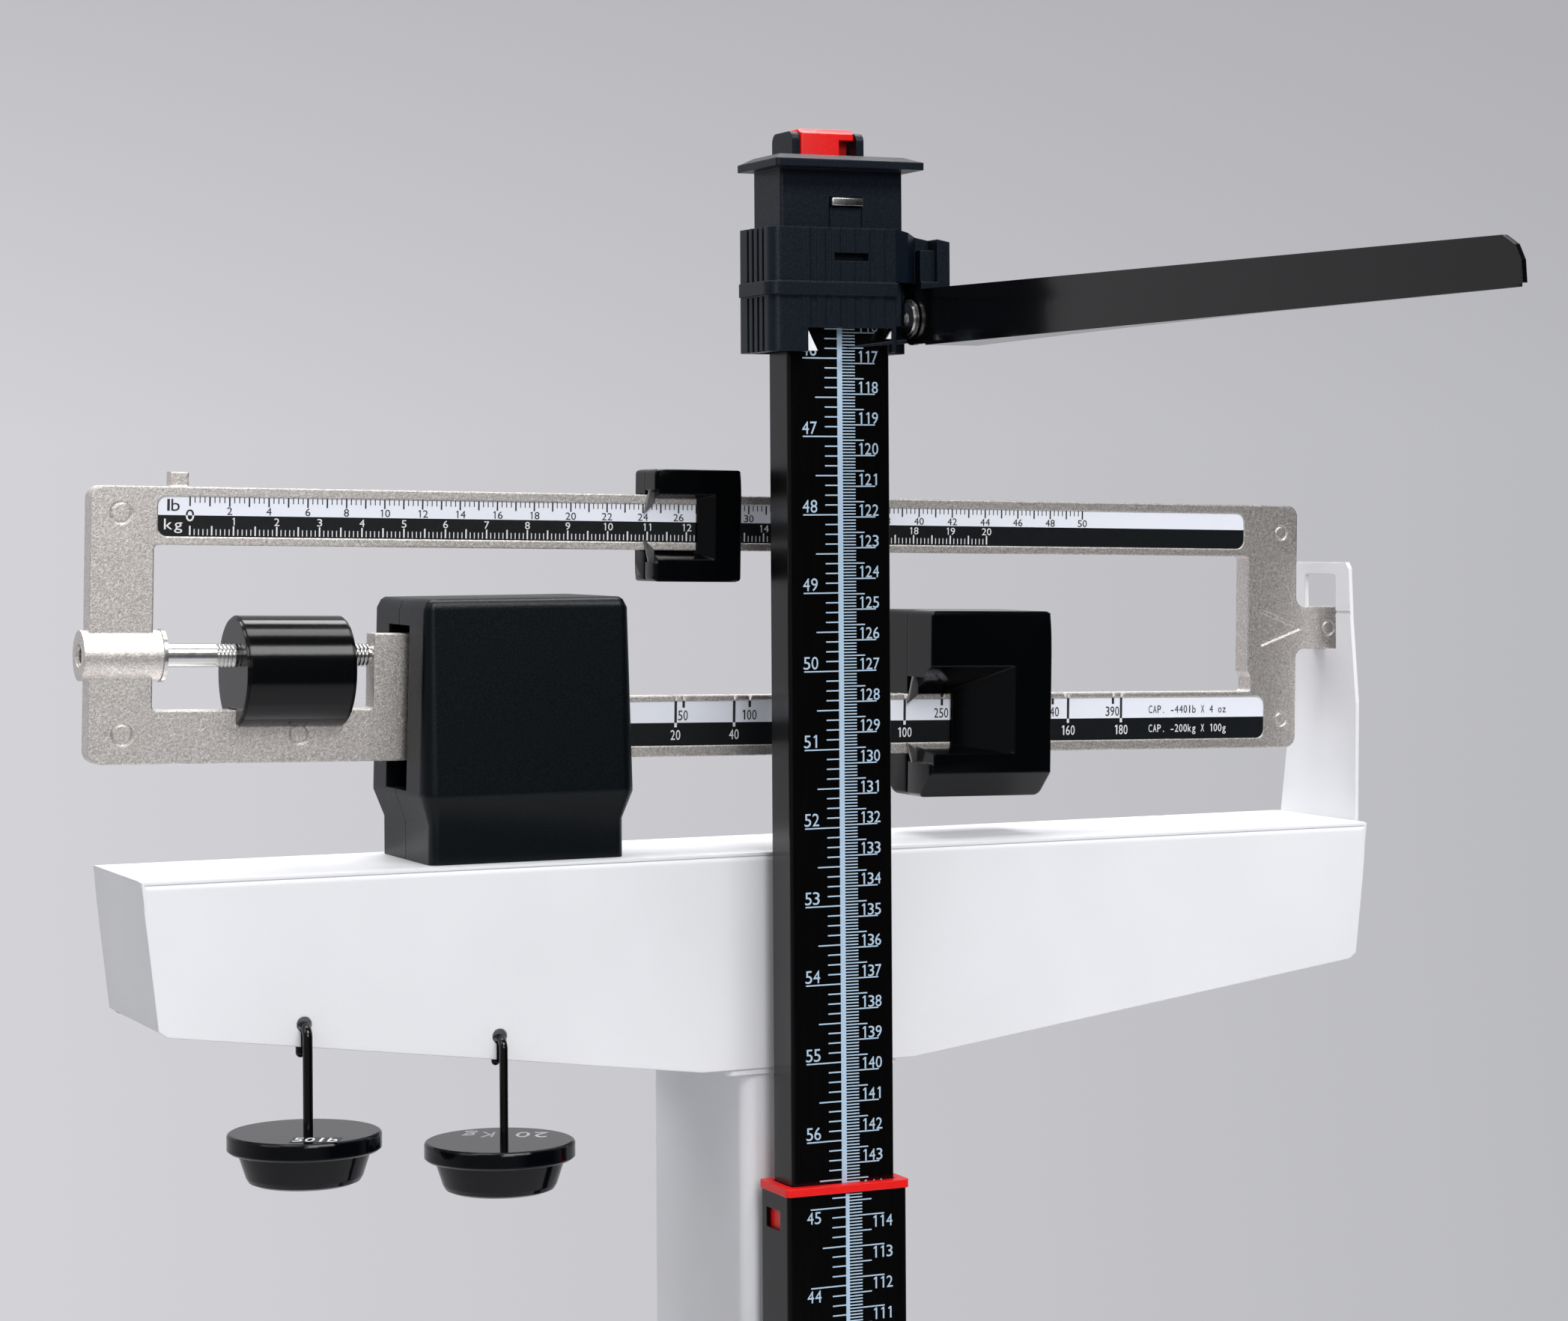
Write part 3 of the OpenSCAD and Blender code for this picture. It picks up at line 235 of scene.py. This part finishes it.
def enamel(name, colour, rough, edge, peel, shine):
    """Glossy black paint, a little uneven."""
    s = shader(name)
    wave = s.noise(260.0, 2.0)
    dust = s.noise(1400.0, 3.0, 0.7)
    specks = s.clamp(dust, 0.66, 0.8)
    return s.surface(Base_Color=s.mix(specks, colour, shade(colour, 2.0, 0.006)),
                     Roughness=rough + 0.25 * specks, IOR=1.5, Specular_IOR_Level=shine,
                     Normal=s.bump(wave, peel, 0.6, edge))


def cast_iron(name, colour):
    s = shader(name)
    grain = s.noise(650.0, 4.0, 0.65)
    tone = s.mix(s.clamp(grain, 0.4, 0.7), colour, shade(colour, 1.7, 0.004))
    return s.surface(Base_Color=tone, Roughness=0.4 + 0.2 * grain, IOR=1.5,
                     Normal=s.bump(grain, 0.00015, 0.6, 0.0006))


def rubber(name):
    s = shader(name)
    grain = s.noise(900.0, 3.0)
    dust = s.noise(18.0, 4.0, 0.6)
    clean, dusty = rgb(0.012, 0.012, 0.013), rgb(0.04, 0.04, 0.042)
    return s.surface(Base_Color=s.mix(s.clamp(dust, 0.45, 0.7, 0.0, 0.5), clean, dusty),
                     Roughness=0.62 + 0.2 * grain, IOR=1.45,
                     Normal=s.bump(grain, 0.0001, 0.6, 0.0006))


def printed(name, split, under, over):
    """Print of two colours on the beam, which change at a height above the fulcrum."""
    s = shader(name)
    at = s.place()
    along = s.node("SeparateXYZ", {}, [at])
    lean = math.radians(BEAM_TILT)
    level = ((along - FULCRUM[0] * MM) * math.sin(lean)
             + (along.beside("Z") - FULCRUM[2] * MM) * math.cos(lean))
    grain = s.noise(500.0, 2.0, 0.5, at)
    tone = s.mix(level > split * MM, under, over)
    return s.surface(Base_Color=tone, Roughness=0.3 + 0.1 * grain, IOR=1.5,
                     Normal=s.bump(grain, 0.00001, 0.4))


def ink(name, colour, rough=0.5):
    s = shader(name)
    wear = s.noise(900.0, 2.0)
    return s.surface(Base_Color=s.mix(wear, shade(colour, 0.9), colour),
                     Roughness=rough - 0.05 + 0.1 * wear, Normal=s.bump(wear, 0.00001, 0.3))


WHITE = powder_coat("white_powder_coat", rgb(0.78, 0.785, 0.81))
FRAME = powder_coat("grey_powder_coat", rgb(0.36, 0.37, 0.39))
COVER = moulded("black_cover_plastic", rgb(0.0006, 0.002, 0.0032), 1500.0, 0.00006, 0.36, 0.0008,
                0.25)
HEAD = moulded("grey_black_nylon", rgb(0.0012, 0.0042, 0.0095), 1300.0, 0.00009, 0.42, 0.0006, 0.3)
RED = moulded("red_plastic", rgb(0.72, 0.004, 0.003), 900.0, 0.00003, 0.36, 0.0006)
PALE = moulded("white_plastic", rgb(0.80, 0.80, 0.84), 900.0, 0.00002, 0.4, 0.0002)
TUBE = anodised("black_tube", rgb(0.0007, 0.0007, 0.0009), 0.22, 0.0006, 0.25)
ARM = enamel("black_arm_paint", rgb(0.002, 0.002, 0.0024), 0.12, 0.0004, 0.00002, 0.4)
GLOSS = enamel("black_poise_paint", rgb(0.0012, 0.0015, 0.0019), 0.13, 0.0009, 0.00003, 0.25)
DISC = enamel("black_disc_paint", rgb(0.0015, 0.0018, 0.0028), 0.09, 0.0007, 0.00005, 0.25)
LEVER = cast_iron("lever_iron", rgb(0.07, 0.075, 0.08))
BEAM = cast_metal("cast_beam")
ZINC = plated("zinc_plate", rgb(0.70, 0.70, 0.69), 0.22, 0.0)
DARKSTEEL = plated("pointer_steel", rgb(0.34, 0.34, 0.35), 0.34)
STEEL = plated("lever_steel", rgb(0.45, 0.45, 0.46), 0.4)
RUBBER = rubber("black_rubber")
BLUE_INK = ink("scale_print", rgb(0.42, 0.56, 0.70))
PRINT_BLACK, PRINT_WHITE = rgb(0.012, 0.012, 0.016), rgb(0.74, 0.74, 0.76)
BLACK_INK = ink("black_print", PRINT_BLACK)
WHITE_INK = ink("white_print", PRINT_WHITE)
TAPE = ink("label_tape", rgb(0.002, 0.002, 0.003), 0.3)
STRIP_BLACK, STRIP_WHITE = rgb(0.0035, 0.005, 0.0065), rgb(0.76, 0.785, 0.85)
UP_SPLIT = 50.6
LOW_SPLIT = -16.2
STRIP_UP = printed("upper_strip_print", UP_SPLIT, STRIP_BLACK, STRIP_WHITE)
STRIP_LOW = printed("lower_strip_print", LOW_SPLIT, STRIP_BLACK, STRIP_WHITE)
SPLIT_INK = printed("split_print", UP_SPLIT, PRINT_WHITE, PRINT_BLACK)

# Which nodes have which finish
FINISH = {
    WHITE: "base_cover pillar pillar_top beam_housing index_bracket platform_pan",
    FRAME: "base_frame pillar_base",
    COVER: "cover_front cover_rear",
    HEAD: "top_cap sleeve rod_brackets",
    RED: "red_button red_collar",
    PALE: "sleeve_index",
    TUBE: "outer_tube inner_rod",
    ARM: "head_arm weight_lb_hook weight_kg_hook",
    GLOSS: "balance_weight minor_front minor_rear major_front major_rear",
    DISC: "weight_lb_disc weight_kg_disc",
    LEVER: "long_lever short_lever",
    BEAM: "beam",
    ZINC: ("balance_screw screw_washer pivot_screw latch_bar housing_screws bracket_screws "
           "cover_screws pillar_bolts"),
    DARKSTEEL: "minor_pointer major_pointer",
    STEEL: ("lever_stands fulcrum_stand shelf_stand fulcrum_knife load_knife load_link "
            "shelf_lever draft_rod lever_loop"),
    RUBBER: "levelling_feet platform_mat",
    STRIP_UP: "strip_upper",
    STRIP_LOW: "strip_lower",
}
for material, names in FINISH.items():
    for name in names.split():
        data = frame["nodes"][name].data
        data.materials.clear()
        data.materials.append(material)


# Mesh making
class Mesh:
    """Collects closed solids, in millimetres, into one object."""

    def __init__(self):
        self.points = []
        self.faces = []

    def add(self, points, faces):
        first = len(self.points)
        self.points += [tuple(p) for p in points]
        self.faces += [tuple(first + i for i in face) for face in faces]

    def box(self, low, high):
        x, y, z = zip(low, high)
        points = [(x[i], y[j], z[k]) for i in (0, 1) for j in (0, 1) for k in (0, 1)]
        self.add(points, [(0, 1, 3, 2), (4, 6, 7, 5), (0, 4, 5, 1), (2, 3, 7, 6), (0, 2, 6, 4),
                          (1, 5, 7, 3)])

    def lathe(self, profile, matrix, steps):
        """profile is (radius, height) pairs round local Z."""
        points = []
        for radius, height in profile:
            for step in range(steps):
                turn = 2 * math.pi * step / steps
                point = Vector((radius * math.cos(turn), radius * math.sin(turn), height))
                points.append(matrix @ point)
        rings = len(profile)
        faces = []
        for ring in range(rings - 1):
            for step in range(steps):
                after = (step + 1) % steps
                faces.append((ring * steps + step, ring * steps + after,
                              (ring + 1) * steps + after, (ring + 1) * steps + step))
        faces.append(tuple(reversed(range(steps))))
        faces.append(tuple(range((rings - 1) * steps, rings * steps)))
        self.add(points, faces)

    def make(self, name, material, body, matrix=None, smooth=None, slot=None):
        data = bpy.data.meshes.new(name)
        turn = matrix or Matrix.Identity(4)
        data.from_pydata([(turn @ Vector(p)) * MM for p in self.points], [], self.faces)
        data.update()
        made = bpy.data.objects.new(name, data)
        bpy.context.scene.collection.objects.link(made)
        data.materials.append(material)
        work = bmesh.new()
        work.from_mesh(data)
        bmesh.ops.recalc_face_normals(work, faces=work.faces)
        work.to_mesh(data)
        work.free()
        if smooth is not None:
            smooth_by_angle(made, smooth)
        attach(made, body)
        return made


def outer_edge(edge, low, high):
    """True for an edge that lies on at least two sides of the bounding box."""
    near = 0.3 * MM
    sides = 0
    for axis in range(3):
        for limit in (low[axis], high[axis]):
            sides += all(abs(v.co[axis] - limit) < near for v in edge.verts)
    return sides > 1


def merged(node, distance):
    """A CAD node's mesh with the points joined that lie closer than a distance in millimetres."""
    work = bmesh.new()
    work.from_mesh(frame["nodes"][node].data)
    bmesh.ops.remove_doubles(work, verts=work.verts, dist=distance * MM)
    return work


def stand_in(node, work, material, name, degrees):
    """Shows a mesh instead of a CAD node, on that node's body."""
    data = bpy.data.meshes.new(name)
    work.to_mesh(data)
    work.free()
    data.materials.append(material)
    made = bpy.data.objects.new(name, data)
    bpy.context.scene.collection.objects.link(made)
    smooth_by_angle(made, degrees)
    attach(made, frame["nodes"][node]["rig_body"])
    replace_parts(made, node)
    return made


def soften(node, material, radius):
    """Shows a copy of a CAD node whose outer edges are rounded to a radius in millimetres."""
    flat = math.radians(0.6)
    sharp = math.radians(30.0)
    work = merged(node, 0.1)
    bmesh.ops.dissolve_limit(work, angle_limit=flat, verts=work.verts, edges=work.edges)
    low = [min(v.co[axis] for v in work.verts) for axis in range(3)]
    high = [max(v.co[axis] for v in work.verts) for axis in range(3)]
    edges = [edge for edge in work.edges
             if len(edge.link_faces) == 2 and edge.calc_face_angle(0.0) > sharp
             and outer_edge(edge, low, high)]
    bmesh.ops.bevel(work, geom=edges, offset=radius * MM, offset_type="OFFSET", segments=3,
                    profile=0.5, affect="EDGES", clamp_overlap=False)
    bmesh.ops.triangulate(work, faces=work.faces)
    stand_in(node, work, material, node + "_soft", 35)


def round_off(node, material):
    """Shows a copy of a CAD node whose narrow chamfers are shaded as round edges."""
    made = stand_in(node, merged(node, 0.01), material, node + "_round", 50)
    weighted = made.modifiers.new("flat_sides", "WEIGHTED_NORMAL")
    weighted.keep_sharp = True
    weighted.weight = 100


def smooth_by_angle(made, degrees):
    """Smooth shading, with the edges kept sharp that turn by more than an angle."""
    data = made.data
    data.shade_smooth()
    work = bmesh.new()
    work.from_mesh(data)
    limit = math.radians(degrees)
    for edge in work.edges:
        if len(edge.link_faces) != 2 or edge.calc_face_angle(0.0) > limit:
            edge.smooth = False
    work.to_mesh(data)
    work.free()


for node, material, radius in (
        ("major_front", GLOSS, 1.3), ("major_rear", GLOSS, 1.3), ("minor_front", GLOSS, 1.0),
        ("minor_rear", GLOSS, 1.0), ("red_button", RED, 0.8), ("latch_bar", ZINC, 0.3)):
    soften(node, material, radius)
for node, material in (("cover_front", COVER), ("cover_rear", COVER), ("beam_housing", WHITE)):
    round_off(node, material)


HALF_DEPTH = 0.5


def read_glyph(letter):
    """One letter of the plain letter form, upright in X and Z and one unit deep in Y."""
    curve = bpy.data.curves.new("glyph", "FONT")
    curve.body = letter
    curve.size = 1.0
    curve.resolution_u = 3
    curve.extrude = HALF_DEPTH
    holder = bpy.data.objects.new("glyph", curve)
    bpy.context.scene.collection.objects.link(holder)
    bpy.context.view_layer.update()
    flat = holder.evaluated_get(bpy.context.evaluated_depsgraph_get()).to_mesh()
    points = [(v.co.x, -v.co.z, v.co.y) for v in flat.vertices]
    faces = [tuple(p.vertices) for p in flat.polygons]
    bpy.data.objects.remove(holder)
    bpy.data.curves.remove(curve)
    return points, faces


def one_glyph():
    """A plain figure one, as the scales have it: a stem with a short flag."""
    flat = ((0.0, 0.76), (0.0, 0.86), (0.17, 1.0), (0.3, 1.0), (0.3, 0.0), (0.16, 0.0),
            (0.16, 0.84))
    count = len(flat)
    points = [(x, y, z) for y in (-HALF_DEPTH, HALF_DEPTH) for x, z in flat]
    faces = [tuple(range(count)), tuple(reversed(range(count, 2 * count)))]
    faces += [(i, count + i, count + (i + 1) % count, (i + 1) % count) for i in range(count)]
    return points, faces, 0.3


GLYPHS = {"1": one_glyph()}


def glyph(letter):
    """A letter's points, faces and width, where an 8 is one unit high."""
    if letter not in GLYPHS:
        points, faces = read_glyph(letter)
        tall = max(p[2] for p in read_glyph("8")[0])
        wide = [p[0] for p in points]
        GLYPHS[letter] = ([((x - min(wide)) / tall, y, z / tall) for x, y, z in points], faces,
                          (max(wide) - min(wide)) / tall)
    return GLYPHS[letter]


def write(mesh, text, x, z, y, height, width, pitch, anchor="middle", proud=0.08):
    """Numerals of one height: each is width wide and they stand pitch apart, both in heights."""
    total = (len(text) - 1) * pitch * height + width * height
    start = x - {"left": 0.0, "middle": 0.5, "right": 1.0}[anchor] * total
    for place, letter in enumerate(text):
        if letter == " ":
            continue
        points, faces, wide = glyph(letter)
        narrow = {"1": wide / width, "l": 0.3, ".": 0.25, "-": 0.8}.get(letter, 1.0)
        stretch = width * narrow / wide * height
        left = start + place * pitch * height + width * height * (1 - narrow) / 2
        mesh.add([(left + px * stretch, y - proud / 2 + py * (proud + 0.04), z + pz * height)
                  for px, py, pz in points], faces)


# Height scales
INCH = 25.4
CM = 10.0
PRINT_PROUD = 0.08
PRINT_SUNK = 0.03
ROD_FIFTY_INCHES = 1408.8
TUBE_45_INCHES = 1235.3
TUBE_114_CM = 1232.25

# A row says where one side of a scale has its marks: its zero and its step, the first and last whole
# numbers, how far its whole, half and short lines reach, and where its numerals stand and how high.
ROD_INCHES = {"zero": ROD_FIFTY_INCHES + 50 * INCH, "step": -INCH, "first": 45, "last": 84,
              "whole": -13.1, "half": -8.6, "short": -5.2, "thick": 0.42,
              "text": -13.3, "size": 4.1, "lift": 0.75}
ROD_CMS = {"zero": ROD_FIFTY_INCHES + 127 * CM, "step": -CM, "first": 114, "last": 213,
           "whole": 12.8, "half": 8.8, "short": 5.7, "thick": 0.4,
           "text": 6.6, "size": 3.75, "lift": 0.35}
TUBE_INCHES = {"zero": TUBE_45_INCHES - 45 * INCH, "step": INCH, "first": 22, "last": 46,
               "whole": -13.3, "half": -9.1, "short": -5.6, "thick": 0.42,
               "text": -14.6, "size": 3.9, "lift": -4.65}
TUBE_CMS = {"zero": TUBE_114_CM - 114 * CM, "step": CM, "first": 56, "last": 115,
            "whole": 13.0, "half": 8.4, "short": 5.1, "thick": 0.4,
            "text": 8.6, "size": 3.75, "lift": -4.3}


def ends(row):
    """The heights of the lowest and the highest whole number of a row."""
    return sorted((row["zero"] + row["step"] * row["first"], row["zero"] + row["step"] * row["last"]))


def lines_and_numerals(mesh, row, parts, edge, low, high, face):
    """One side of a scale, each whole number divided into a number of parts."""
    for number in range(row["first"], row["last"]):
        for part in range(parts):
            z = row["zero"] + row["step"] * (number + part / parts)
            if z > high or z < low:
                continue
            reach = row["whole"] if part == 0 else row["half"] if part == parts / 2 else row["short"]
            mesh.box((min(reach, edge), face - PRINT_PROUD, z - row["thick"] / 2),
                     (max(reach, edge), face + PRINT_SUNK, z + row["thick"] / 2))
        z = row["zero"] + row["step"] * number
        if low < z < high:
            write(mesh, str(number), row["text"], z + row["lift"], face, row["size"], 0.58, 0.69,
                  "left")


def height_scale(name, body, face, inches, cms, spine, top):
    """The line down the middle of a rod, with inches on its left and centimetres on its right."""
    mesh = Mesh()
    left, right = spine
    low = min(ends(inches)[0], ends(cms)[0])
    high = min(top, max(ends(inches)[1], ends(cms)[1]))
    mesh.box((left, face - 0.1, low), (right, face + PRINT_SUNK, high))
    lines_and_numerals(mesh, inches, 8, left + 0.1, low, high, face)
    lines_and_numerals(mesh, cms, 10, right - 0.1, low, high, face)
    mesh.make(name, BLUE_INK, body)


height_scale("inner_rod_scale", "height_rod", ROD_FACE, ROD_INCHES, ROD_CMS, (-0.7, 1.1), 1540.0)
height_scale("outer_tube_scale", "stand", TUBE_FACE, TUBE_INCHES, TUBE_CMS, (-0.8, 0.5),
             TUBE_TOP - 0.4)


# Beam scales, in millimetres along and above the fulcrum
LEVEL = Matrix.Translation(FULCRUM) @ Matrix.Rotation(math.radians(BEAM_TILT), 4, "Y")
STRIP_FACE = -3.7
STRIP_PRINT = 0.06
LB = 6.396
KG_UP = LB * 2.20462
KG_LOW = 1.063
KG_PER_LB = 0.45359
UP_ZERO = -105.5
UP_TOP = 56.5
UP_FOOT = 44.3
UP_MARGIN = 0.05
LOW_ZERO = 39.4
LOW_TOP = -9.05
CAPACITY_PLACE = 242.0


def strip_line(mesh, x, half_wide, low, high):
    mesh.box((x - half_wide, STRIP_FACE - STRIP_PRINT, low),
             (x + half_wide, STRIP_FACE + PRINT_SUNK, high))


def strip_text(mesh, text, x, z, height, width, pitch, anchor="middle"):
    write(mesh, text, x, z, STRIP_FACE, height, width, pitch, anchor, STRIP_PRINT)


def upper_strip_marks(dark, pale, split):
    """Pounds to 50 hang from the top of the strip and kilograms to 20 stand on its foot."""
    for quarter in range(201):
        x = UP_ZERO + LB * quarter / 4
        long, wide = (3.0, 0.25) if quarter % 4 == 0 else (1.9, 0.15)
        strip_line(dark, x, wide, UP_TOP - long, UP_TOP - UP_MARGIN)
        if quarter % 8 == 0 and quarter:
            strip_text(dark, str(quarter // 4), x, 50.9, 2.4, 0.7, 0.82)
    for tenth in range(201):
        x = UP_ZERO + KG_UP * tenth / 10
        long, wide = (3.0, 0.25) if tenth % 5 == 0 else (2.0, 0.15)
        strip_line(pale, x, wide, UP_FOOT + UP_MARGIN, UP_FOOT + long)
        if tenth % 10 == 0 and tenth:
            strip_text(pale, str(tenth // 10), x, 47.6, 2.4, 0.7, 0.82)
    strip_text(dark, "lb", UP_ZERO - 3.3, 51.95, 3.75, 0.72, 0.6, "right")
    strip_text(pale, "kg", UP_ZERO - 2.4, 46.1, 3.4, 0.78, 0.95, "right")
    strip_text(split, "0", UP_ZERO, 48.73, 3.75, 0.73, 0.73)


def lower_strip_marks(dark, pale):
    """Fifty-pound marks above the split, twenty-kilogram marks through it, and the capacities."""
    wide = 0.45
    for pound in (0, 50, 100, 150, 200, 250, 300, 340, 390):
        x = LOW_ZERO + KG_LOW * pound * KG_PER_LB
        strip_line(dark, x, wide, LOW_TOP - 2.15, LOW_TOP)
        if pound:
            strip_text(dark, str(pound), x - 0.2, -15.4, 3.3, 0.48, 0.58)
    for kilo in range(0, 181, 20):
        x = LOW_ZERO + KG_LOW * kilo
        strip_line(dark, x, wide, LOW_SPLIT, LOW_TOP)
        strip_line(pale, x, wide, LOW_SPLIT - 1.5, LOW_SPLIT - 0.05)
        strip_text(pale, str(kilo), x, -21.9, 3.3, 0.48, 0.58)
    strip_text(dark, "CAP. -440lb X 4 oz", CAPACITY_PLACE, -14.6, 2.7, 0.52, 0.66, "left")
    strip_text(pale, "CAP. -200kg X 100g", CAPACITY_PLACE, -21.3, 2.7, 0.52, 0.66, "left")


def beam_scales():
    dark, pale, split = Mesh(), Mesh(), Mesh()
    upper_strip_marks(dark, pale, split)
    lower_strip_marks(dark, pale)
    dark.make("beam_dark_print", BLACK_INK, "beam", LEVEL)
    pale.make("beam_pale_print", WHITE_INK, "beam", LEVEL)
    split.make("beam_split_print", SPLIT_INK, "beam", LEVEL)


beam_scales()


# Balance screw
def balance_screw():
    """The long screw, with its cut thread. Its places are along the screw, from the fulcrum."""
    mesh = Mesh()
    pitch, crest, root = 1.25, 3.75, 3.2
    socket, neck, chamfer = 2.3, 3.3, 0.4
    start, plain_end, thread_end, end = -138.6, -96.0, -45.6, -39.6
    axis_height = 6.45
    along = Matrix.Translation((0, 0, axis_height)) @ Matrix.Rotation(math.radians(90), 4, "Y")
    profile = [(socket, start + 2.2), (socket, start), (neck, start), (crest, start + chamfer),
               (crest, plain_end)]
    x = plain_end
    while x < thread_end - pitch:
        profile += [(root, x + 0.4 * pitch), (crest, x + 0.85 * pitch), (crest, x + pitch)]
        x += pitch
    profile += [(3.0, thread_end), (3.0, end)]
    mesh.lathe(profile, along, 32)
    return mesh.make("balance_screw_thread", ZINC, "balance_screw", LEVEL, 30, "zinc")


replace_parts(balance_screw(), "balance_screw")


# Counterweight lettering
def lie_flat(x, y, z, turn):
    """Puts writing that stands in X and Z flat on a top face, turned about Z."""
    return (Matrix.Translation((x, y, z)) @ Matrix.Rotation(math.radians(turn), 4, "Z")
            @ Matrix.Rotation(math.radians(-90), 4, "X"))


def weight_marks():
    """A strip of label tape on the pound disc, and white letters on the kilogram disc."""
    tape = 0.1
    label, mark = Mesh(), Mesh()
    label.box((-7.5, -tape, -1.3), (7.5, PRINT_SUNK, 7.7))
    write(mark, "50lb", 0.0, 0.0, -tape, 6.4, 0.46, 0.56, "middle", 0.05)
    spot = lie_flat(-177.4, 139.4, POUND_DISC_TOP, -26.5)
    label.make("pound_label", TAPE, "weight_lb", spot)
    mark.make("pound_mark", WHITE_INK, "weight_lb", spot)
    mark = Mesh()
    write(mark, "20 Kg", 0.0, 0.0, 0.0, 9.0, 0.5, 0.64, "middle", 0.05)
    mark.make("kilo_mark", WHITE_INK, "weight_kg", lie_flat(-103.4, 171.5, KILO_DISC_TOP, 153.5))


weight_marks()


# Studio
def floor():
    reach, thick = 3000.0, 6.0
    disc = Mesh()
    disc.lathe([(reach, -thick), (reach, 0.0)], Matrix.Identity(4), 96)
    data = bpy.data.meshes.new("studio_floor")
    data.from_pydata([Vector(p) * MM for p in disc.points], [], disc.faces)
    made = bpy.data.objects.new("studio_floor", data)
    bpy.context.scene.collection.objects.link(made)
    s = shader("studio_floor")
    grain = s.noise(40.0, 3.0)
    s.surface(Base_Color=s.mix(grain, rgb(0.60, 0.60, 0.62), rgb(0.63, 0.63, 0.65)),
              Roughness=0.75 + 0.1 * grain)
    data.materials.append(s.owner)


def lamp(name, place, target, size, power):
    light = bpy.data.lights.new(name, "AREA")
    light.shape = "RECTANGLE"
    light.size, light.size_y = size
    light.energy = power
    made = bpy.data.objects.new(name, light)
    made.location = place
    made.rotation_euler = (Vector(target) - Vector(place)).to_track_quat("-Z", "Y").to_euler()
    bpy.context.scene.collection.objects.link(made)


def surroundings():
    """A grey backdrop for the camera, with painted light that makes it paler to the left and darker to
    the right and towards the top, a dark room with a pale rear for reflections, and soft fill.
    """
    world = bpy.data.worlds.new("studio")
    bpy.context.scene.world = world
    s = Shader(world)
    across = s.node("SeparateXYZ", {}, [s.node("TexCoord", out=0)])
    depth = across.beside("Y")
    high = across.beside("Z")
    seen_by_camera = s.node("LightPath")
    seen_by_gloss = seen_by_camera.beside("Is Glossy Ray")
    # painted light on the backdrop the camera sees: paler to the left, darker to the right
    side = s.clamp(across * 0.9 - depth * 0.1, -0.25, 0.75)
    painted_light_backdrop = s.mix(side, rgb(0.80, 0.785, 0.83), rgb(0.365, 0.375, 0.39))
    # painted shade on the backdrop: darker towards the top
    painted_light_backdrop = s.mix(s.clamp(high, 0.02, 0.2, 0.0, 0.65), painted_light_backdrop, rgb(0.36, 0.355, 0.38))
    front = s.mix(s.clamp(across, 0.1, 0.4), rgb(0.20, 0.20, 0.21), rgb(0.004, 0.004, 0.005))
    room = s.mix(s.clamp(depth, -0.35, 0.45), front, rgb(0.50, 0.50, 0.52))
    fill = s.mix(s.clamp(high, -0.3, 0.3), rgb(0.22, 0.22, 0.23), rgb(0.40, 0.40, 0.41))
    light = s.mix(seen_by_camera, s.mix(seen_by_gloss, fill, room), painted_light_backdrop)
    s.node("OutputWorld", {}, {"Surface": s.node("Background", {}, {"Color": light, "Strength": 1.0})})


def lamps():
    """Places and sizes in metres, power in watts."""
    lamp("key_light", (0.4, -2.3, 3.9), (0.0, 0.2, 1.35), (2.2, 1.1), 84.0)
    lamp("front_light", (-0.5, -2.8, 2.45), (0.0, 0.2, 1.4), (1.0, 0.8), 20.0)
    lamp("left_light", (-2.4, -0.4, 3.4), (0.0, 0.2, 1.3), (1.4, 1.4), 14.0)
    lamp("top_light", (0.0, 0.8, 3.4), (0.0, 0.2, 1.2), (2.0, 2.0), 84.0)


def camera():
    """The view of the photograph: level, turned 24.4 degrees to the right, with a slight roll."""
    place = Vector((-500.506, -922.763, 1461.622)) * MM
    turn, roll = 0.42594, -0.0060259
    picture_width, picture_height = 2094.0, 1764.0
    long, horizon_row = 4815.3, 679.4
    ahead = Vector((math.sin(turn), math.cos(turn), 0.0))
    right = Vector((math.cos(turn), -math.sin(turn), 0.0))
    up = Vector((0.0, 0.0, 1.0))
    across = right * math.cos(roll) + up * math.sin(roll)
    above = up * math.cos(roll) - right * math.sin(roll)
    data = bpy.data.cameras.new("photo_camera")
    data.sensor_fit = "HORIZONTAL"
    data.sensor_width = 36.0
    data.lens = long / picture_width * data.sensor_width
    data.shift_y = (horizon_row - picture_height / 2) / picture_width
    data.clip_start = 0.05
    data.clip_end = 60.0
    made = bpy.data.objects.new("photo_camera", data)
    bpy.context.scene.collection.objects.link(made)
    matrix = Matrix((across, above, -ahead)).transposed().to_4x4()
    matrix.translation = place
    made.matrix_world = matrix
    bpy.context.scene.camera = made


floor()
surroundings()
lamps()
camera()
bpy.context.scene.view_settings.view_transform = "Standard"
